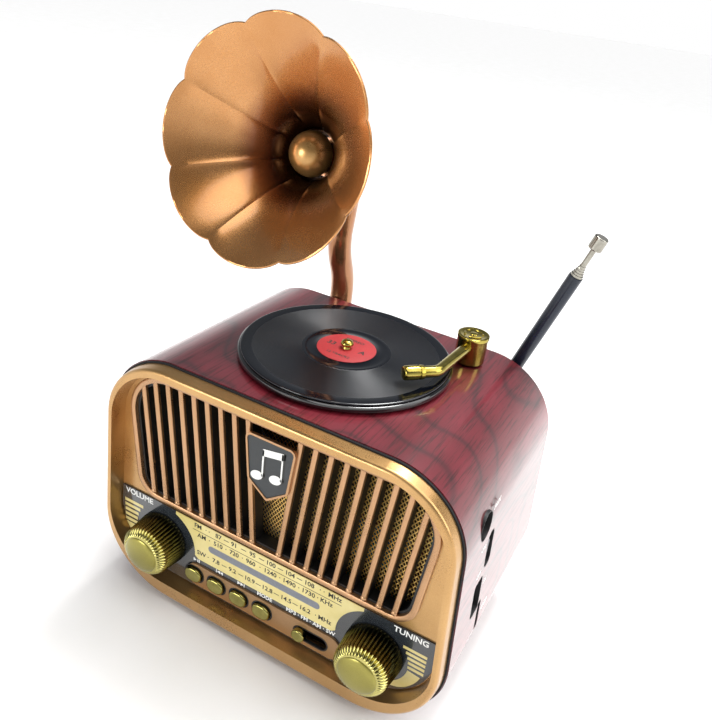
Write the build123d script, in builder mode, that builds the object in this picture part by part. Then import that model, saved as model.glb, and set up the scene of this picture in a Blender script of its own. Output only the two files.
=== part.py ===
"""Small retro radio-speaker shaped like a gramophone: wood-look cabinet, copper bezel and grille,
turning record with tonearm, decorative horn on a curved neck, and a telescopic aerial.

Frame: millimetres, +Z up, -Y is the front, origin at the centre of the footprint on the table.
"""
import os
from math import atan2, cos, degrees, hypot, radians, sin, tan

from build123d import *

os.makedirs("parts", exist_ok=True)

# ---- cabinet: a rounded trapezoid, wider at the bottom, running front to back ----
FOOT_HEIGHT = 2.0
CABINET_TOP = 108.4
CABINET_HALF_TOP = 69.4
CABINET_HALF_BOTTOM = 76.6
CABINET_HALF_DEPTH = 44.5
WALL = 3.0
TOP_RADIUS = 29.0
BOTTOM_RADIUS = 32.0
SIDE_SLOPE = (CABINET_HALF_BOTTOM - CABINET_HALF_TOP) / (CABINET_TOP - FOOT_HEIGHT)

# ---- front: Y of each layer, from the rim of the bezel to the mesh ----
BEZEL_FRONT = -50.2
BEZEL_REAR = -45.3
PANEL_FRONT = -43.8
PANEL_BACK = -41.6
BAR_FRONT = -45.24
DIAL_FRONT = -44.4
SCALE_FRONT = -44.65
KEY_FRONT = -45.1
MESH_FRONT = -38.6
MESH_BACK = -38.0

# ---- grille opening and its slanted bars ----
GRILLE_BOTTOM = 48.05
GRILLE_TOP = 99.1
GRILLE_HALF_BOTTOM = 57.1
GRILLE_HALF_TOP = 61.9
BAR_PITCH = 5.8
BAR_WIDTH = 2.1
FIRST_BAR_BOTTOM = 5.7
FIRST_BAR_TOP = 10.45
BARS_PER_SIDE = 9

# ---- controls ----
KNOB_X = 47.6
KNOB_Z = 28.3
KNOB_RADIUS = 11.3
KNOB_FRONT_RADIUS = 10.0
SHAFT_RADIUS = 3.0
BOARD_FRONT = -33.0
BOARD_BACK = -31.4
KEY_FIRST_X = -31.5
KEY_PITCH = 10.8
KEY_Z = 18.2
KEY_TRAVEL = 1.0
BAND_Z = 17.7
BAND_SLOT_X = 22.6
BAND_KNOB_X = 18.3

# ---- turntable and tonearm ----
RECORD_TOP = 112.2
RECORD_RADIUS = 38.9
PLATTER_RADIUS = 39.6
SPINDLE_RADIUS = 1.5
POST_X = 37.4
POST_Y = 29.6
ARM_Z = 116.0
ARM_RADIUS = 2.05
ARM_BEND = (36.0, 0.2)
ARM_TIP = (27.1, -9.4)

# ---- horn: axis tilted up, centre of the mouth, flare, and the neck behind the cabinet ----
HORN_X = -31.1
HORN_TILT = 13.0
MOUTH_Y = -18.0
MOUTH_Z = 181.8
PETALS = 8
PETAL_RADIUS = 40.0
NOTCH_RADIUS = 37.5
FLARE_LENGTH = 43.0
FLARE_POWER = 1.7
THROAT_RADIUS = 7.0
THROAT_DEPTH = 35.0
SOCKET_DEPTH = 46.0
HORN_WALL = 1.6
NECK_Y = 50.5
NECK_UPPER_Y = 43.4
NECK_LOW_RADIUS = 5.0
NECK_HIGH_RADIUS = 6.9
NECK_ELBOW = 15.0
SPIGOT_RADIUS = 3.95

# ---- aerial ----
AERIAL_X = 43.1
AERIAL_Y = 51.0
AERIAL_Z = 78.0
AERIAL_LEAN = 17.6
SLEEVE_RADIUS = 2.75
SLEEVE_END = 70.3
STAGE_END = 74.9
TIP_START = 82.3
TIP_END = 87.5

# ---- sockets in the right-hand side ----
SIDE_BOARD_X = 57.0
JACK_Y = -27.0
JACK_Z = 84.0
SWITCH_Y = -19.1
SWITCH_Z = 69.5
USB_Y = -25.0
USB_Z = 52.1
CARD_Y = -19.4
CARD_Z = 39.6
JACK_OPENING = 5.3
SWITCH_LONG = 15.2
SWITCH_WIDE = 6.2
USB_LONG = 15.2
USB_WIDE = 8.2
CARD_LONG = 13.0
CARD_WIDE = 3.2

RUNNING_GAP = 0.05
BODY_GAP = 0.3


def front_plane(y):
    """Drawing plane at Y = y, seen from the front: local x is +X, local y is +Z, outwards is -Y."""
    return Plane.XZ.offset(-y)


def half_width(z):
    """Half the cabinet's width at height z."""
    return CABINET_HALF_TOP + (CABINET_TOP - z) * SIDE_SLOPE


def cabinet_face(side, top, bottom, top_radius, bottom_radius):
    """Rounded trapezoid set in from the cabinet by side, top and bottom, in the open sketch."""
    side_inset = side * hypot(1, SIDE_SLOPE)
    high = CABINET_TOP - top
    low = FOOT_HEIGHT + bottom
    wide = half_width(low) - side_inset
    narrow = half_width(high) - side_inset
    with BuildLine() as outline:
        FilletPolyline(
            (narrow, high), (wide, low), (-wide, low), (-narrow, high),
            radius=(top_radius, bottom_radius, bottom_radius, top_radius), close=True,
        )
    make_face(outline.edges())


def even_face(inset):
    """The cabinet's outline pulled in by the same amount all round."""
    cabinet_face(inset, inset, inset, TOP_RADIUS - inset, BOTTOM_RADIUS - inset)


def pocket_face(gap):
    """Outline of the sunk front panel, pulled in by gap."""
    cabinet_face(4.6 + gap, 5.3 + gap, 8.9 + gap, 24.5 - gap, 25.0 - gap)


def grille_face(grow, mode=Mode.ADD):
    """Outline of the grille opening, grown outwards, in the open sketch."""
    slope = (GRILLE_HALF_TOP - GRILLE_HALF_BOTTOM) / (GRILLE_TOP - GRILLE_BOTTOM)
    low = GRILLE_BOTTOM - grow
    high = GRILLE_TOP + grow
    wide = GRILLE_HALF_TOP + grow * (slope + hypot(1, slope))
    narrow = GRILLE_HALF_BOTTOM + grow * (hypot(1, slope) - slope)
    top = 15.7 + grow
    bottom = 8.0 + grow
    with BuildLine() as outline:
        FilletPolyline(
            (wide, high), (narrow, low), (-narrow, low), (-wide, high),
            radius=(top, bottom, bottom, top), close=True,
        )
    make_face(outline.edges(), mode=mode)


def slanted_bars(width):
    """The bars of both halves, which lean towards the middle at the foot, in the open sketch."""
    for side in (-1, 1):
        for number in range(BARS_PER_SIDE):
            foot = side * (FIRST_BAR_BOTTOM + number * BAR_PITCH)
            head = side * (FIRST_BAR_TOP + number * BAR_PITCH)
            slope = (head - foot) / (GRILLE_TOP - GRILLE_BOTTOM)
            low = GRILLE_BOTTOM - 1
            high = GRILLE_TOP + 1
            Polygon(
                (foot - slope - width / 2, low), (foot - slope + width / 2, low),
                (head + slope + width / 2, high), (head + slope - width / 2, high), align=None,
            )


def save(part, name):
    """Label one finished piece and write it."""
    part.label = name
    export_step(part, f"parts/{name}.step")


# ================= cabinet, seal, bezel =================

SCREW_HIGH_X = 57.0
SCREW_HIGH_Z = 84.0
SCREW_LOW_X = 40.0
SCREW_LOW_Z = 14.0
SCREW_SPOTS = [
    (-SCREW_HIGH_X, SCREW_HIGH_Z), (SCREW_HIGH_X, SCREW_HIGH_Z),
    (-SCREW_LOW_X, SCREW_LOW_Z), (SCREW_LOW_X, SCREW_LOW_Z),
]
COVER_FRONT = CABINET_HALF_DEPTH - 3.0

with BuildPart() as cabinet_shell:
    with BuildSketch(front_plane(CABINET_HALF_DEPTH)):
        even_face(0)
    extrude(amount=2 * CABINET_HALF_DEPTH)
    with BuildSketch(front_plane(CABINET_HALF_DEPTH)):
        even_face(WALL)
    extrude(amount=2 * CABINET_HALF_DEPTH, mode=Mode.SUBTRACT)
    # screw blocks glued to the side walls and the floor, for the rear cover
    with BuildSketch(front_plane(COVER_FRONT)):
        for side in (-1, 1):
            with Locations((side * (SCREW_HIGH_X + 3.3), SCREW_HIGH_Z)):
                Rectangle(16.6, 10)
            with Locations((side * SCREW_LOW_X, SCREW_LOW_Z - 3)):
                Rectangle(10, 16)
    extrude(amount=10)
    with BuildSketch(front_plane(COVER_FRONT)):
        with Locations(*SCREW_SPOTS):
            Circle(1.6)
    extrude(amount=8, mode=Mode.SUBTRACT)
    # holes in the roof for the turntable boss and the tonearm bush
    with BuildSketch(Plane.XY.offset(CABINET_TOP + 1)):
        Circle(4.0)
        with Locations((POST_X, POST_Y)):
            Circle(4.2)
    extrude(amount=-6, mode=Mode.SUBTRACT)
    # holes in the right-hand side
    with BuildSketch(Plane.YZ.offset(SIDE_BOARD_X + 5)):
        with Locations((JACK_Y, JACK_Z)):
            Circle(JACK_OPENING)
        with Locations((SWITCH_Y, SWITCH_Z)):
            SlotOverall(SWITCH_LONG, SWITCH_WIDE, rotation=90)
        with Locations((USB_Y, USB_Z)):
            RectangleRounded(USB_WIDE, USB_LONG, 2.0)
        with Locations((CARD_Y, CARD_Z)):
            RectangleRounded(CARD_WIDE, CARD_LONG, 0.8)
    extrude(amount=20, mode=Mode.SUBTRACT)
save(cabinet_shell.part, "cabinet_shell")

with BuildPart() as front_seal:
    with BuildSketch(front_plane(-CABINET_HALF_DEPTH)):
        even_face(0.4)
    extrude(amount=-CABINET_HALF_DEPTH - BEZEL_REAR)
    with BuildSketch(front_plane(-CABINET_HALF_DEPTH)):
        even_face(3.2)
    extrude(amount=-CABINET_HALF_DEPTH - BEZEL_REAR, mode=Mode.SUBTRACT)
save(front_seal.part, "front_seal")

BUTTON_X = [KEY_FIRST_X + number * KEY_PITCH for number in range(4)]
BUTTON_WIDE = 7.8
BUTTON_HIGH = 6.4


def control_openings(grow):
    """Openings for the four keys and the band slider, in the open sketch."""
    for x in BUTTON_X:
        with Locations((x, KEY_Z)):
            RectangleRounded(BUTTON_WIDE + 2 * grow, BUTTON_HIGH + 2 * grow, 3.0 + grow)
    with Locations((BAND_SLOT_X, BAND_Z)):
        SlotOverall(14.2 + 2 * grow, 5.6 + 2 * grow)


with BuildPart() as front_bezel:
    # rim: leans in slightly towards the front
    with BuildSketch(front_plane(BEZEL_REAR)):
        even_face(1.0)
    with BuildSketch(front_plane(BEZEL_FRONT)):
        even_face(1.6)
    loft()
    front_edges = front_bezel.faces().sort_by(Axis.Y)[0].edges()
    fillet(front_edges, radius=1.4)
    # plug that fits inside the cabinet
    with BuildSketch(front_plane(PANEL_BACK)):
        even_face(WALL + BODY_GAP)
    extrude(amount=PANEL_BACK - BEZEL_REAR)
    # pocket down to the sunk panel
    with BuildSketch(front_plane(PANEL_FRONT)):
        pocket_face(0)
    with BuildSketch(front_plane(BEZEL_FRONT - 0.1)):
        pocket_face(-0.7)
    loft(mode=Mode.SUBTRACT)
    # grille opening, knob shaft holes, key and slider openings
    with BuildSketch(front_plane(PANEL_BACK + 1)):
        grille_face(0.9)
        with Locations((-KNOB_X, KNOB_Z), (KNOB_X, KNOB_Z)):
            Circle(4.6)
        control_openings(0.9)
    extrude(amount=PANEL_BACK - PANEL_FRONT + 2, mode=Mode.SUBTRACT)
save(front_bezel.part, "front_bezel")

with BuildPart() as grille_bars:
    with BuildSketch(front_plane(PANEL_FRONT)):
        slanted_bars(BAR_WIDTH)
        grille_face(0.2, mode=Mode.INTERSECT)
    extrude(amount=PANEL_FRONT - BAR_FRONT)
    with BuildSketch(front_plane(PANEL_FRONT)):
        grille_face(2.3)
        grille_face(0, mode=Mode.SUBTRACT)
    extrude(amount=PANEL_FRONT - BAR_FRONT + 0.3)
save(grille_bars.part, "grille_bars")

with BuildPart() as grille_ribs:
    with BuildSketch(front_plane(MESH_FRONT)):
        slanted_bars(BAR_WIDTH - 0.5)
        grille_face(-0.8, mode=Mode.INTERSECT)
    extrude(amount=MESH_FRONT - PANEL_FRONT)
    with BuildSketch(front_plane(MESH_FRONT)):
        grille_face(0.6)
        grille_face(-1.0, mode=Mode.SUBTRACT)
    extrude(amount=MESH_FRONT - PANEL_FRONT)
save(grille_ribs.part, "grille_ribs")

with BuildPart() as speaker_mesh:
    with BuildSketch(front_plane(MESH_BACK)):
        grille_face(0.6)
    extrude(amount=MESH_BACK - MESH_FRONT)
save(speaker_mesh.part, "speaker_mesh")

# ================= badge =================

BADGE_TOP = 96.2
BADGE_SHOULDER = 77.6
BADGE_TIP = 71.2
BADGE_HALF_TOP = 10.2
BADGE_HALF_SHOULDER = 8.3


def badge_face(inset):
    """Shield outline pulled in by inset: square top, slightly tapered sides, pointed foot."""
    top = BADGE_TOP - inset
    tip = BADGE_TIP + 1.25 * inset
    shoulder = BADGE_SHOULDER + 0.35 * inset
    with BuildLine() as outline:
        FilletPolyline(
            (BADGE_HALF_TOP - inset, top), (BADGE_HALF_SHOULDER - inset, shoulder), (0, tip),
            (inset - BADGE_HALF_SHOULDER, shoulder), (inset - BADGE_HALF_TOP, top),
            radius=(2.4 - inset, 1.4, 1.0, 1.4, 2.4 - inset), close=True,
        )
    make_face(outline.edges())


with BuildPart() as badge_frame:
    with BuildSketch(front_plane(BAR_FRONT)):
        badge_face(0)
    extrude(amount=1.3)
    with BuildSketch(front_plane(BAR_FRONT - 0.5)):
        badge_face(0.8)
    extrude(amount=1, mode=Mode.SUBTRACT)
save(badge_frame.part, "badge_frame")

with BuildPart() as badge_plate:
    with BuildSketch(front_plane(BAR_FRONT - 0.5)):
        badge_face(0.9)
    extrude(amount=0.5)
save(badge_plate.part, "badge_plate")

# ================= dial plate, scale, key panel =================

DIAL_TOP = 44.3
KEY_PANEL_HALF = 35.3
KEY_PANEL_LOW = 12.7
KEY_PANEL_HIGH = 23.4
KEY_PANEL_MID = (KEY_PANEL_LOW + KEY_PANEL_HIGH) / 2
KEY_PANEL_HEIGHT = KEY_PANEL_HIGH - KEY_PANEL_LOW

with BuildPart() as dial_plate:
    with BuildSketch(front_plane(PANEL_FRONT)):
        pocket_face(0.4)
        with Locations((0, DIAL_TOP + 50)):
            Rectangle(200, 100, mode=Mode.SUBTRACT)
        with Locations((0, KEY_PANEL_MID)):
            RectangleRounded(2 * KEY_PANEL_HALF + 0.3, KEY_PANEL_HEIGHT + 0.3, 5.2, mode=Mode.SUBTRACT)
        with Locations((-KNOB_X, KNOB_Z), (KNOB_X, KNOB_Z)):
            Circle(4.6, mode=Mode.SUBTRACT)
    extrude(amount=PANEL_FRONT - DIAL_FRONT)
save(dial_plate.part, "dial_plate")

SCALE_LOW = 27.2

with BuildPart() as dial_scale:
    with BuildSketch(front_plane(DIAL_FRONT)):
        with Locations((0, (DIAL_TOP + SCALE_LOW) / 2)):
            Rectangle(84, DIAL_TOP - SCALE_LOW)
        with Locations((-KNOB_X, KNOB_Z), (KNOB_X, KNOB_Z)):
            Circle(17.2, mode=Mode.SUBTRACT)
    extrude(amount=DIAL_FRONT - SCALE_FRONT)
save(dial_scale.part, "dial_scale")

with BuildPart() as key_panel:
    with BuildSketch(front_plane(PANEL_FRONT)):
        with Locations((0, KEY_PANEL_MID)):
            RectangleRounded(2 * KEY_PANEL_HALF, KEY_PANEL_HEIGHT, 5.0)
    extrude(amount=PANEL_FRONT - KEY_FRONT)
    with BuildSketch(front_plane(PANEL_FRONT)):
        control_openings(0.45)
    extrude(amount=PANEL_FRONT - KEY_FRONT, mode=Mode.SUBTRACT)
save(key_panel.part, "key_panel")

# ================= keys =================

KEY_CAP_FRONT = -46.7
KEY_FLANGE_FRONT = PANEL_BACK + BODY_GAP
KEY_STEM_END = -38.0
SWITCH_TOP = KEY_STEM_END + KEY_TRAVEL + BODY_GAP

for x, key_name in zip(BUTTON_X, ("play_key", "previous_key", "next_key", "mode_key")):
    with BuildPart() as key:
        with BuildSketch(front_plane(KEY_FLANGE_FRONT)):
            with Locations((x, KEY_Z)):
                RectangleRounded(BUTTON_WIDE, BUTTON_HIGH, 3.0)
        extrude(amount=KEY_FLANGE_FRONT - KEY_CAP_FRONT)
        fillet(key.faces().sort_by(Axis.Y)[0].edges(), radius=0.8)
        with BuildSketch(front_plane(KEY_FLANGE_FRONT + 0.8)):
            with Locations((x, KEY_Z)):
                RectangleRounded(BUTTON_WIDE + 2.4, BUTTON_HIGH + 2.4, 2.0)
        extrude(amount=0.8)
        with BuildSketch(front_plane(KEY_STEM_END)):
            with Locations((x, KEY_Z)):
                Circle(1.5)
        extrude(amount=KEY_STEM_END - KEY_FLANGE_FRONT)
    save(key.part, key_name)

with BuildPart() as key_switches:
    with BuildSketch(front_plane(BOARD_FRONT)):
        with Locations(*[(x, KEY_Z) for x in BUTTON_X]):
            Rectangle(6.0, 6.0)
    extrude(amount=BOARD_FRONT - SWITCH_TOP - 0.8)
    with BuildSketch(front_plane(BOARD_FRONT)):
        with Locations(*[(x, KEY_Z) for x in BUTTON_X]):
            Circle(1.7)
    extrude(amount=BOARD_FRONT - SWITCH_TOP)
save(key_switches.part, "key_switches")

with BuildPart() as band_switch:
    with BuildSketch(front_plane(BOARD_FRONT)):
        with Locations((BAND_SLOT_X, BAND_Z)):
            Rectangle(19.0, 7.0)
    extrude(amount=3.6)
save(band_switch.part, "band_switch")

BAND_HEAD_REAR = KEY_FRONT - BODY_GAP

with BuildPart() as band_slider:
    with BuildSketch(front_plane(BAND_HEAD_REAR)):
        with Locations((BAND_KNOB_X, BAND_Z)):
            Circle(2.75)
    extrude(amount=2.1)
    fillet(band_slider.faces().sort_by(Axis.Y)[0].edges(), radius=0.6)
    with BuildSketch(front_plane(BOARD_FRONT - 3.6 - BODY_GAP)):
        with Locations((BAND_KNOB_X, BAND_Z)):
            Rectangle(2.4, 3.4)
    extrude(amount=BOARD_FRONT - 3.6 - BODY_GAP - BAND_HEAD_REAR)
save(band_slider.part, "band_slider")

# ================= knobs, shafts and what they turn =================

KNOB_REAR = DIAL_FRONT - BODY_GAP
KNOB_SHOULDER = -56.8
KNOB_CAP = -59.0
SHAFT_FRONT = -54.0
CONTROL_FRONT = -38.2

for x, knob_name, shaft_name in (
    (-KNOB_X, "volume_knob", "volume_shaft"),
    (KNOB_X, "tuning_knob", "tuning_shaft"),
):
    with BuildPart() as knob:
        with BuildSketch(front_plane(KNOB_REAR)):
            with Locations((x, KNOB_Z)):
                Circle(KNOB_RADIUS)
        with BuildSketch(front_plane(KNOB_SHOULDER)):
            with Locations((x, KNOB_Z)):
                Circle(KNOB_FRONT_RADIUS)
        loft()
        with BuildSketch(front_plane(KNOB_SHOULDER)):
            with Locations((x, KNOB_Z)):
                Circle(8.0)
        extrude(amount=KNOB_SHOULDER - KNOB_CAP)
        fillet(knob.faces().sort_by(Axis.Y)[0].edges(), radius=1.9)
        with BuildSketch(front_plane(KNOB_REAR)):
            with Locations((x, KNOB_Z)):
                Circle(SHAFT_RADIUS)
        extrude(amount=KNOB_REAR - SHAFT_FRONT, mode=Mode.SUBTRACT)
    save(knob.part, knob_name)

    with BuildPart() as shaft:
        with BuildSketch(front_plane(BOARD_FRONT - 1.5)):
            with Locations((x, KNOB_Z)):
                Circle(SHAFT_RADIUS)
        extrude(amount=BOARD_FRONT - 1.5 - SHAFT_FRONT)
    save(shaft.part, shaft_name)

with BuildPart() as volume_control:
    with BuildSketch(front_plane(BOARD_FRONT)):
        with Locations((-KNOB_X, KNOB_Z)):
            Circle(8.2)
    extrude(amount=BOARD_FRONT - CONTROL_FRONT)
    with BuildSketch(front_plane(CONTROL_FRONT)):
        with Locations((-KNOB_X, KNOB_Z)):
            Circle(4.2)
    extrude(amount=CONTROL_FRONT - PANEL_FRONT)
    with BuildSketch(front_plane(BOARD_FRONT - 1.2)):
        with Locations((-KNOB_X, KNOB_Z)):
            Circle(SHAFT_RADIUS + RUNNING_GAP)
    extrude(amount=BOARD_FRONT - 1.2 - PANEL_FRONT, mode=Mode.SUBTRACT)
save(volume_control.part, "volume_control")

with BuildPart() as tuning_capacitor:
    with BuildSketch(front_plane(BOARD_FRONT)):
        with Locations((KNOB_X, KNOB_Z)):
            Rectangle(17.0, 17.0)
    extrude(amount=BOARD_FRONT - CONTROL_FRONT)
    with BuildSketch(front_plane(CONTROL_FRONT)):
        with Locations((KNOB_X, KNOB_Z)):
            Circle(4.2)
    extrude(amount=CONTROL_FRONT - PANEL_FRONT)
    with BuildSketch(front_plane(BOARD_FRONT - 1.2)):
        with Locations((KNOB_X, KNOB_Z)):
            Circle(SHAFT_RADIUS + RUNNING_GAP)
    extrude(amount=BOARD_FRONT - 1.2 - PANEL_FRONT, mode=Mode.SUBTRACT)
save(tuning_capacitor.part, "tuning_capacitor")

# ================= boards, driver, battery =================

with BuildPart() as main_board:
    with BuildSketch(front_plane(BOARD_BACK)):
        with Locations((0, 28.5)):
            RectangleRounded(114.0, 29.0, 2.0)
    extrude(amount=BOARD_BACK - BOARD_FRONT)
save(main_board.part, "main_board")

with BuildPart() as side_board:
    with BuildSketch(Plane.YZ.offset(SIDE_BOARD_X - 1.6)):
        with Locations((-22.4, 61.5)):
            Rectangle(17.0, 57.0)
    extrude(amount=1.6)
save(side_board.part, "side_board")

DRIVER_Z = 73.5
DRIVER_RADIUS = 28.5


def driver_ring(profile):
    """Revolve a closed (radius, y) profile about the driver's axis, into the open part."""
    with BuildSketch(Plane.XY.offset(DRIVER_Z)) as section:
        Polygon(*profile, align=None)
    revolve(section.sketch, axis=Axis((0, 0, DRIVER_Z), (0, 1, 0)))


with BuildPart() as speaker_basket:
    driver_ring([
        (DRIVER_RADIUS, MESH_BACK), (DRIVER_RADIUS, -36.4), (25.2, -36.4), (14.5, -26.0),
        (14.5, -24.8), (9.0, -24.8), (9.0, -26.2), (13.4, -26.2), (24.4, -36.8), (24.4, MESH_BACK),
    ])
save(speaker_basket.part, "speaker_basket")

with BuildPart() as speaker_cone:
    driver_ring([
        (24.2, MESH_BACK + 0.3), (24.2, -36.9), (21.5, -36.6), (8.0, -28.2), (7.9, -25.0),
        (7.4, -25.0), (7.4, -29.5), (0.0, -32.5), (0.0, -33.1), (8.0, -29.9), (21.5, MESH_BACK + 0.6),
    ])
save(speaker_cone.part, "speaker_cone")

with BuildPart() as speaker_magnet:
    driver_ring([(16.5, -24.8), (16.5, -15.5), (0.0, -15.5), (0.0, -23.0), (7.0, -23.0), (7.0, -24.8)])
save(speaker_magnet.part, "speaker_magnet")

CELL_Y = 12.0
CELL_Z = 17.2
CELL_RADIUS = 9.1
CELL_LENGTH = 65.0

with BuildPart() as battery_cell:
    with BuildSketch(Plane.YZ.offset(-CELL_LENGTH / 2)):
        with Locations((CELL_Y, CELL_Z)):
            Circle(CELL_RADIUS)
    extrude(amount=CELL_LENGTH)
save(battery_cell.part, "battery_cell")

with BuildPart() as battery_cradle:
    with BuildSketch(Plane.YZ.offset(-CELL_LENGTH / 2 - 2)):
        with Locations((CELL_Y, FOOT_HEIGHT + WALL + 6)):
            Rectangle(22.0, 12.0)
    extrude(amount=CELL_LENGTH + 4)
    with BuildSketch(Plane.YZ.offset(-CELL_LENGTH / 2 - 0.3)):
        with Locations((CELL_Y, CELL_Z)):
            Circle(CELL_RADIUS + 0.2)
        with Locations((CELL_Y, CELL_Z + 5)):
            Rectangle(2 * CELL_RADIUS + 0.4, 10)
    extrude(amount=CELL_LENGTH + 0.6, mode=Mode.SUBTRACT)
save(battery_cradle.part, "battery_cradle")

# ================= rear cover, screws, feet =================

SOCKET_HALF = 8.5
SOCKET_LOW = 78.0
SOCKET_TOP = 96.0
SCREW_RADIUS = 1.5
VENT_LENGTH = 36.0
VENT_WIDTH = 2.2
VENT_PITCH = 5.0
VENT_ROWS = 7
VENT_MIDDLE = 52.0

with BuildPart() as rear_cover:
    with BuildSketch(front_plane(CABINET_HALF_DEPTH)):
        even_face(WALL + BODY_GAP)
        with Locations(*SCREW_SPOTS):
            Circle(1.7, mode=Mode.SUBTRACT)
        with Locations((AERIAL_X, AERIAL_Z)):
            Circle(5.0 + RUNNING_GAP, mode=Mode.SUBTRACT)
        # vent slots
        with Locations((0, VENT_MIDDLE)):
            with GridLocations(0, VENT_PITCH, 1, VENT_ROWS):
                SlotOverall(VENT_LENGTH, VENT_WIDTH, mode=Mode.SUBTRACT)
    extrude(amount=CABINET_HALF_DEPTH - COVER_FRONT)
save(rear_cover.part, "rear_cover")

with BuildPart() as rear_screws:
    with BuildSketch(front_plane(COVER_FRONT)):
        with Locations(*SCREW_SPOTS):
            Circle(SCREW_RADIUS)
    extrude(amount=6.5)
    with BuildSketch(front_plane(CABINET_HALF_DEPTH)):
        with Locations(*SCREW_SPOTS):
            Circle(SCREW_RADIUS)
    extrude(amount=CABINET_HALF_DEPTH - COVER_FRONT)
    with BuildSketch(front_plane(CABINET_HALF_DEPTH + 1.6)):
        with Locations(*SCREW_SPOTS):
            Circle(2.8)
    extrude(amount=1.6)
save(rear_screws.part, "rear_screws")

FOOT_RADIUS = 6.0
FOOT_SPAN_X = 70.0
FOOT_SPAN_Y = 66.0

with BuildPart() as feet:
    with BuildSketch(Plane.XY):
        with GridLocations(FOOT_SPAN_X, FOOT_SPAN_Y, 2, 2):
            Circle(FOOT_RADIUS)
    extrude(amount=FOOT_HEIGHT)
    chamfer(feet.faces().group_by(Axis.Z)[0].edges(), length=0.5)
save(feet.part, "feet")

# ================= turntable =================

ROOF_INSIDE = CABINET_TOP - WALL
PLATTER_LOW = 109.0
PLATTER_TOP = 111.3

MOTOR_LOW = 86.0
MOTOR_FLANGE = 104.0
SPINDLE_LOW = 90.3

with BuildPart() as turntable_motor:
    with BuildSketch(Plane.XY.offset(MOTOR_LOW)):
        Circle(10.0)
    extrude(amount=MOTOR_FLANGE - MOTOR_LOW)
    with BuildSketch(Plane.XY.offset(MOTOR_FLANGE)):
        Circle(13.0)
    extrude(amount=ROOF_INSIDE - MOTOR_FLANGE)
    with BuildSketch(Plane.XY.offset(ROOF_INSIDE)):
        Circle(3.6)
    extrude(amount=WALL + 0.2)
    with BuildSketch(Plane.XY.offset(SPINDLE_LOW - BODY_GAP)):
        Circle(SPINDLE_RADIUS + RUNNING_GAP)
    extrude(amount=20.0, mode=Mode.SUBTRACT)
save(turntable_motor.part, "turntable_motor")

with BuildPart() as turntable_spindle:
    with BuildSketch(Plane.XY.offset(SPINDLE_LOW)):
        Circle(SPINDLE_RADIUS)
    extrude(amount=RECORD_TOP + 0.3 - SPINDLE_LOW)
save(turntable_spindle.part, "turntable_spindle")

with BuildPart() as platter:
    with BuildSketch(Plane.XY.offset(PLATTER_LOW)):
        Circle(PLATTER_RADIUS)
    extrude(amount=PLATTER_TOP - PLATTER_LOW)
    fillet(platter.edges().filter_by(GeomType.CIRCLE), radius=0.9)
    with BuildSketch(Plane.XY.offset(PLATTER_LOW)):
        Circle(SPINDLE_RADIUS)
    extrude(amount=PLATTER_TOP - PLATTER_LOW, mode=Mode.SUBTRACT)
save(platter.part, "platter")

with BuildPart() as record:
    with BuildSketch(Plane.XY.offset(PLATTER_TOP)):
        Circle(RECORD_RADIUS - 0.3)
        Circle(SPINDLE_RADIUS, mode=Mode.SUBTRACT)
    extrude(amount=RECORD_TOP - PLATTER_TOP)
save(record.part, "record")

LABEL_THICK = 0.2

with BuildPart() as record_label:
    with BuildSketch(Plane.XY.offset(RECORD_TOP)):
        Circle(11.0)
        Circle(SPINDLE_RADIUS, mode=Mode.SUBTRACT)
    extrude(amount=LABEL_THICK)
save(record_label.part, "record_label")

CAP_BASE = RECORD_TOP + 0.3

with BuildPart() as spindle_cap:
    with BuildSketch(Plane.XY.offset(CAP_BASE)):
        Circle(1.7)
    extrude(amount=1.4)
    with BuildSketch(Plane.XY.offset(CAP_BASE + 1.4)):
        Circle(2.4)
    extrude(amount=1.8)
    fillet(spindle_cap.faces().sort_by(Axis.Z)[-1].edges(), radius=1.2)
save(spindle_cap.part, "spindle_cap")

# ================= tonearm =================

POST_LOW = CABINET_TOP + 0.5
POST_CAP_LOW = 118.3
POST_TOP = 120.3

with BuildPart() as tonearm_bush:
    with BuildSketch(Plane.XY.offset(ROOF_INSIDE - 1.5)):
        with Locations((POST_X, POST_Y)):
            Circle(5.2)
    extrude(amount=1.5)
    with BuildSketch(Plane.XY.offset(ROOF_INSIDE)):
        with Locations((POST_X, POST_Y)):
            Circle(4.1)
    extrude(amount=WALL + 0.2)
    with BuildSketch(Plane.XY.offset(ROOF_INSIDE - 1.5)):
        with Locations((POST_X, POST_Y)):
            Circle(2.5 + RUNNING_GAP)
    extrude(amount=WALL + 1.7, mode=Mode.SUBTRACT)
save(tonearm_bush.part, "tonearm_bush")

with BuildPart() as tonearm_post:
    with BuildSketch(Plane.XY.offset(ROOF_INSIDE - 3.0)):
        with Locations((POST_X, POST_Y)):
            Circle(2.5)
    extrude(amount=POST_LOW - ROOF_INSIDE + 3.0)
    with BuildSketch(Plane.XY.offset(POST_LOW)):
        with Locations((POST_X, POST_Y)):
            Circle(5.5)
    extrude(amount=POST_CAP_LOW - POST_LOW)
    with BuildSketch(Plane.XY.offset(POST_CAP_LOW)):
        with Locations((POST_X, POST_Y)):
            Circle(6.2)
    extrude(amount=POST_TOP - POST_CAP_LOW)
    fillet(tonearm_post.faces().sort_by(Axis.Z)[-1].edges(), radius=0.5)
    # blind hole for the arm tube
    arm_heading = degrees(atan2(ARM_BEND[1] - POST_Y, ARM_BEND[0] - POST_X))
    arm_plane = Plane(
        origin=(POST_X, POST_Y, ARM_Z),
        z_dir=(cos(radians(arm_heading)), sin(radians(arm_heading)), 0),
    )
    with BuildSketch(arm_plane):
        Circle(ARM_RADIUS)
    extrude(amount=8.0, mode=Mode.SUBTRACT)
save(tonearm_post.part, "tonearm_post")

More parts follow.
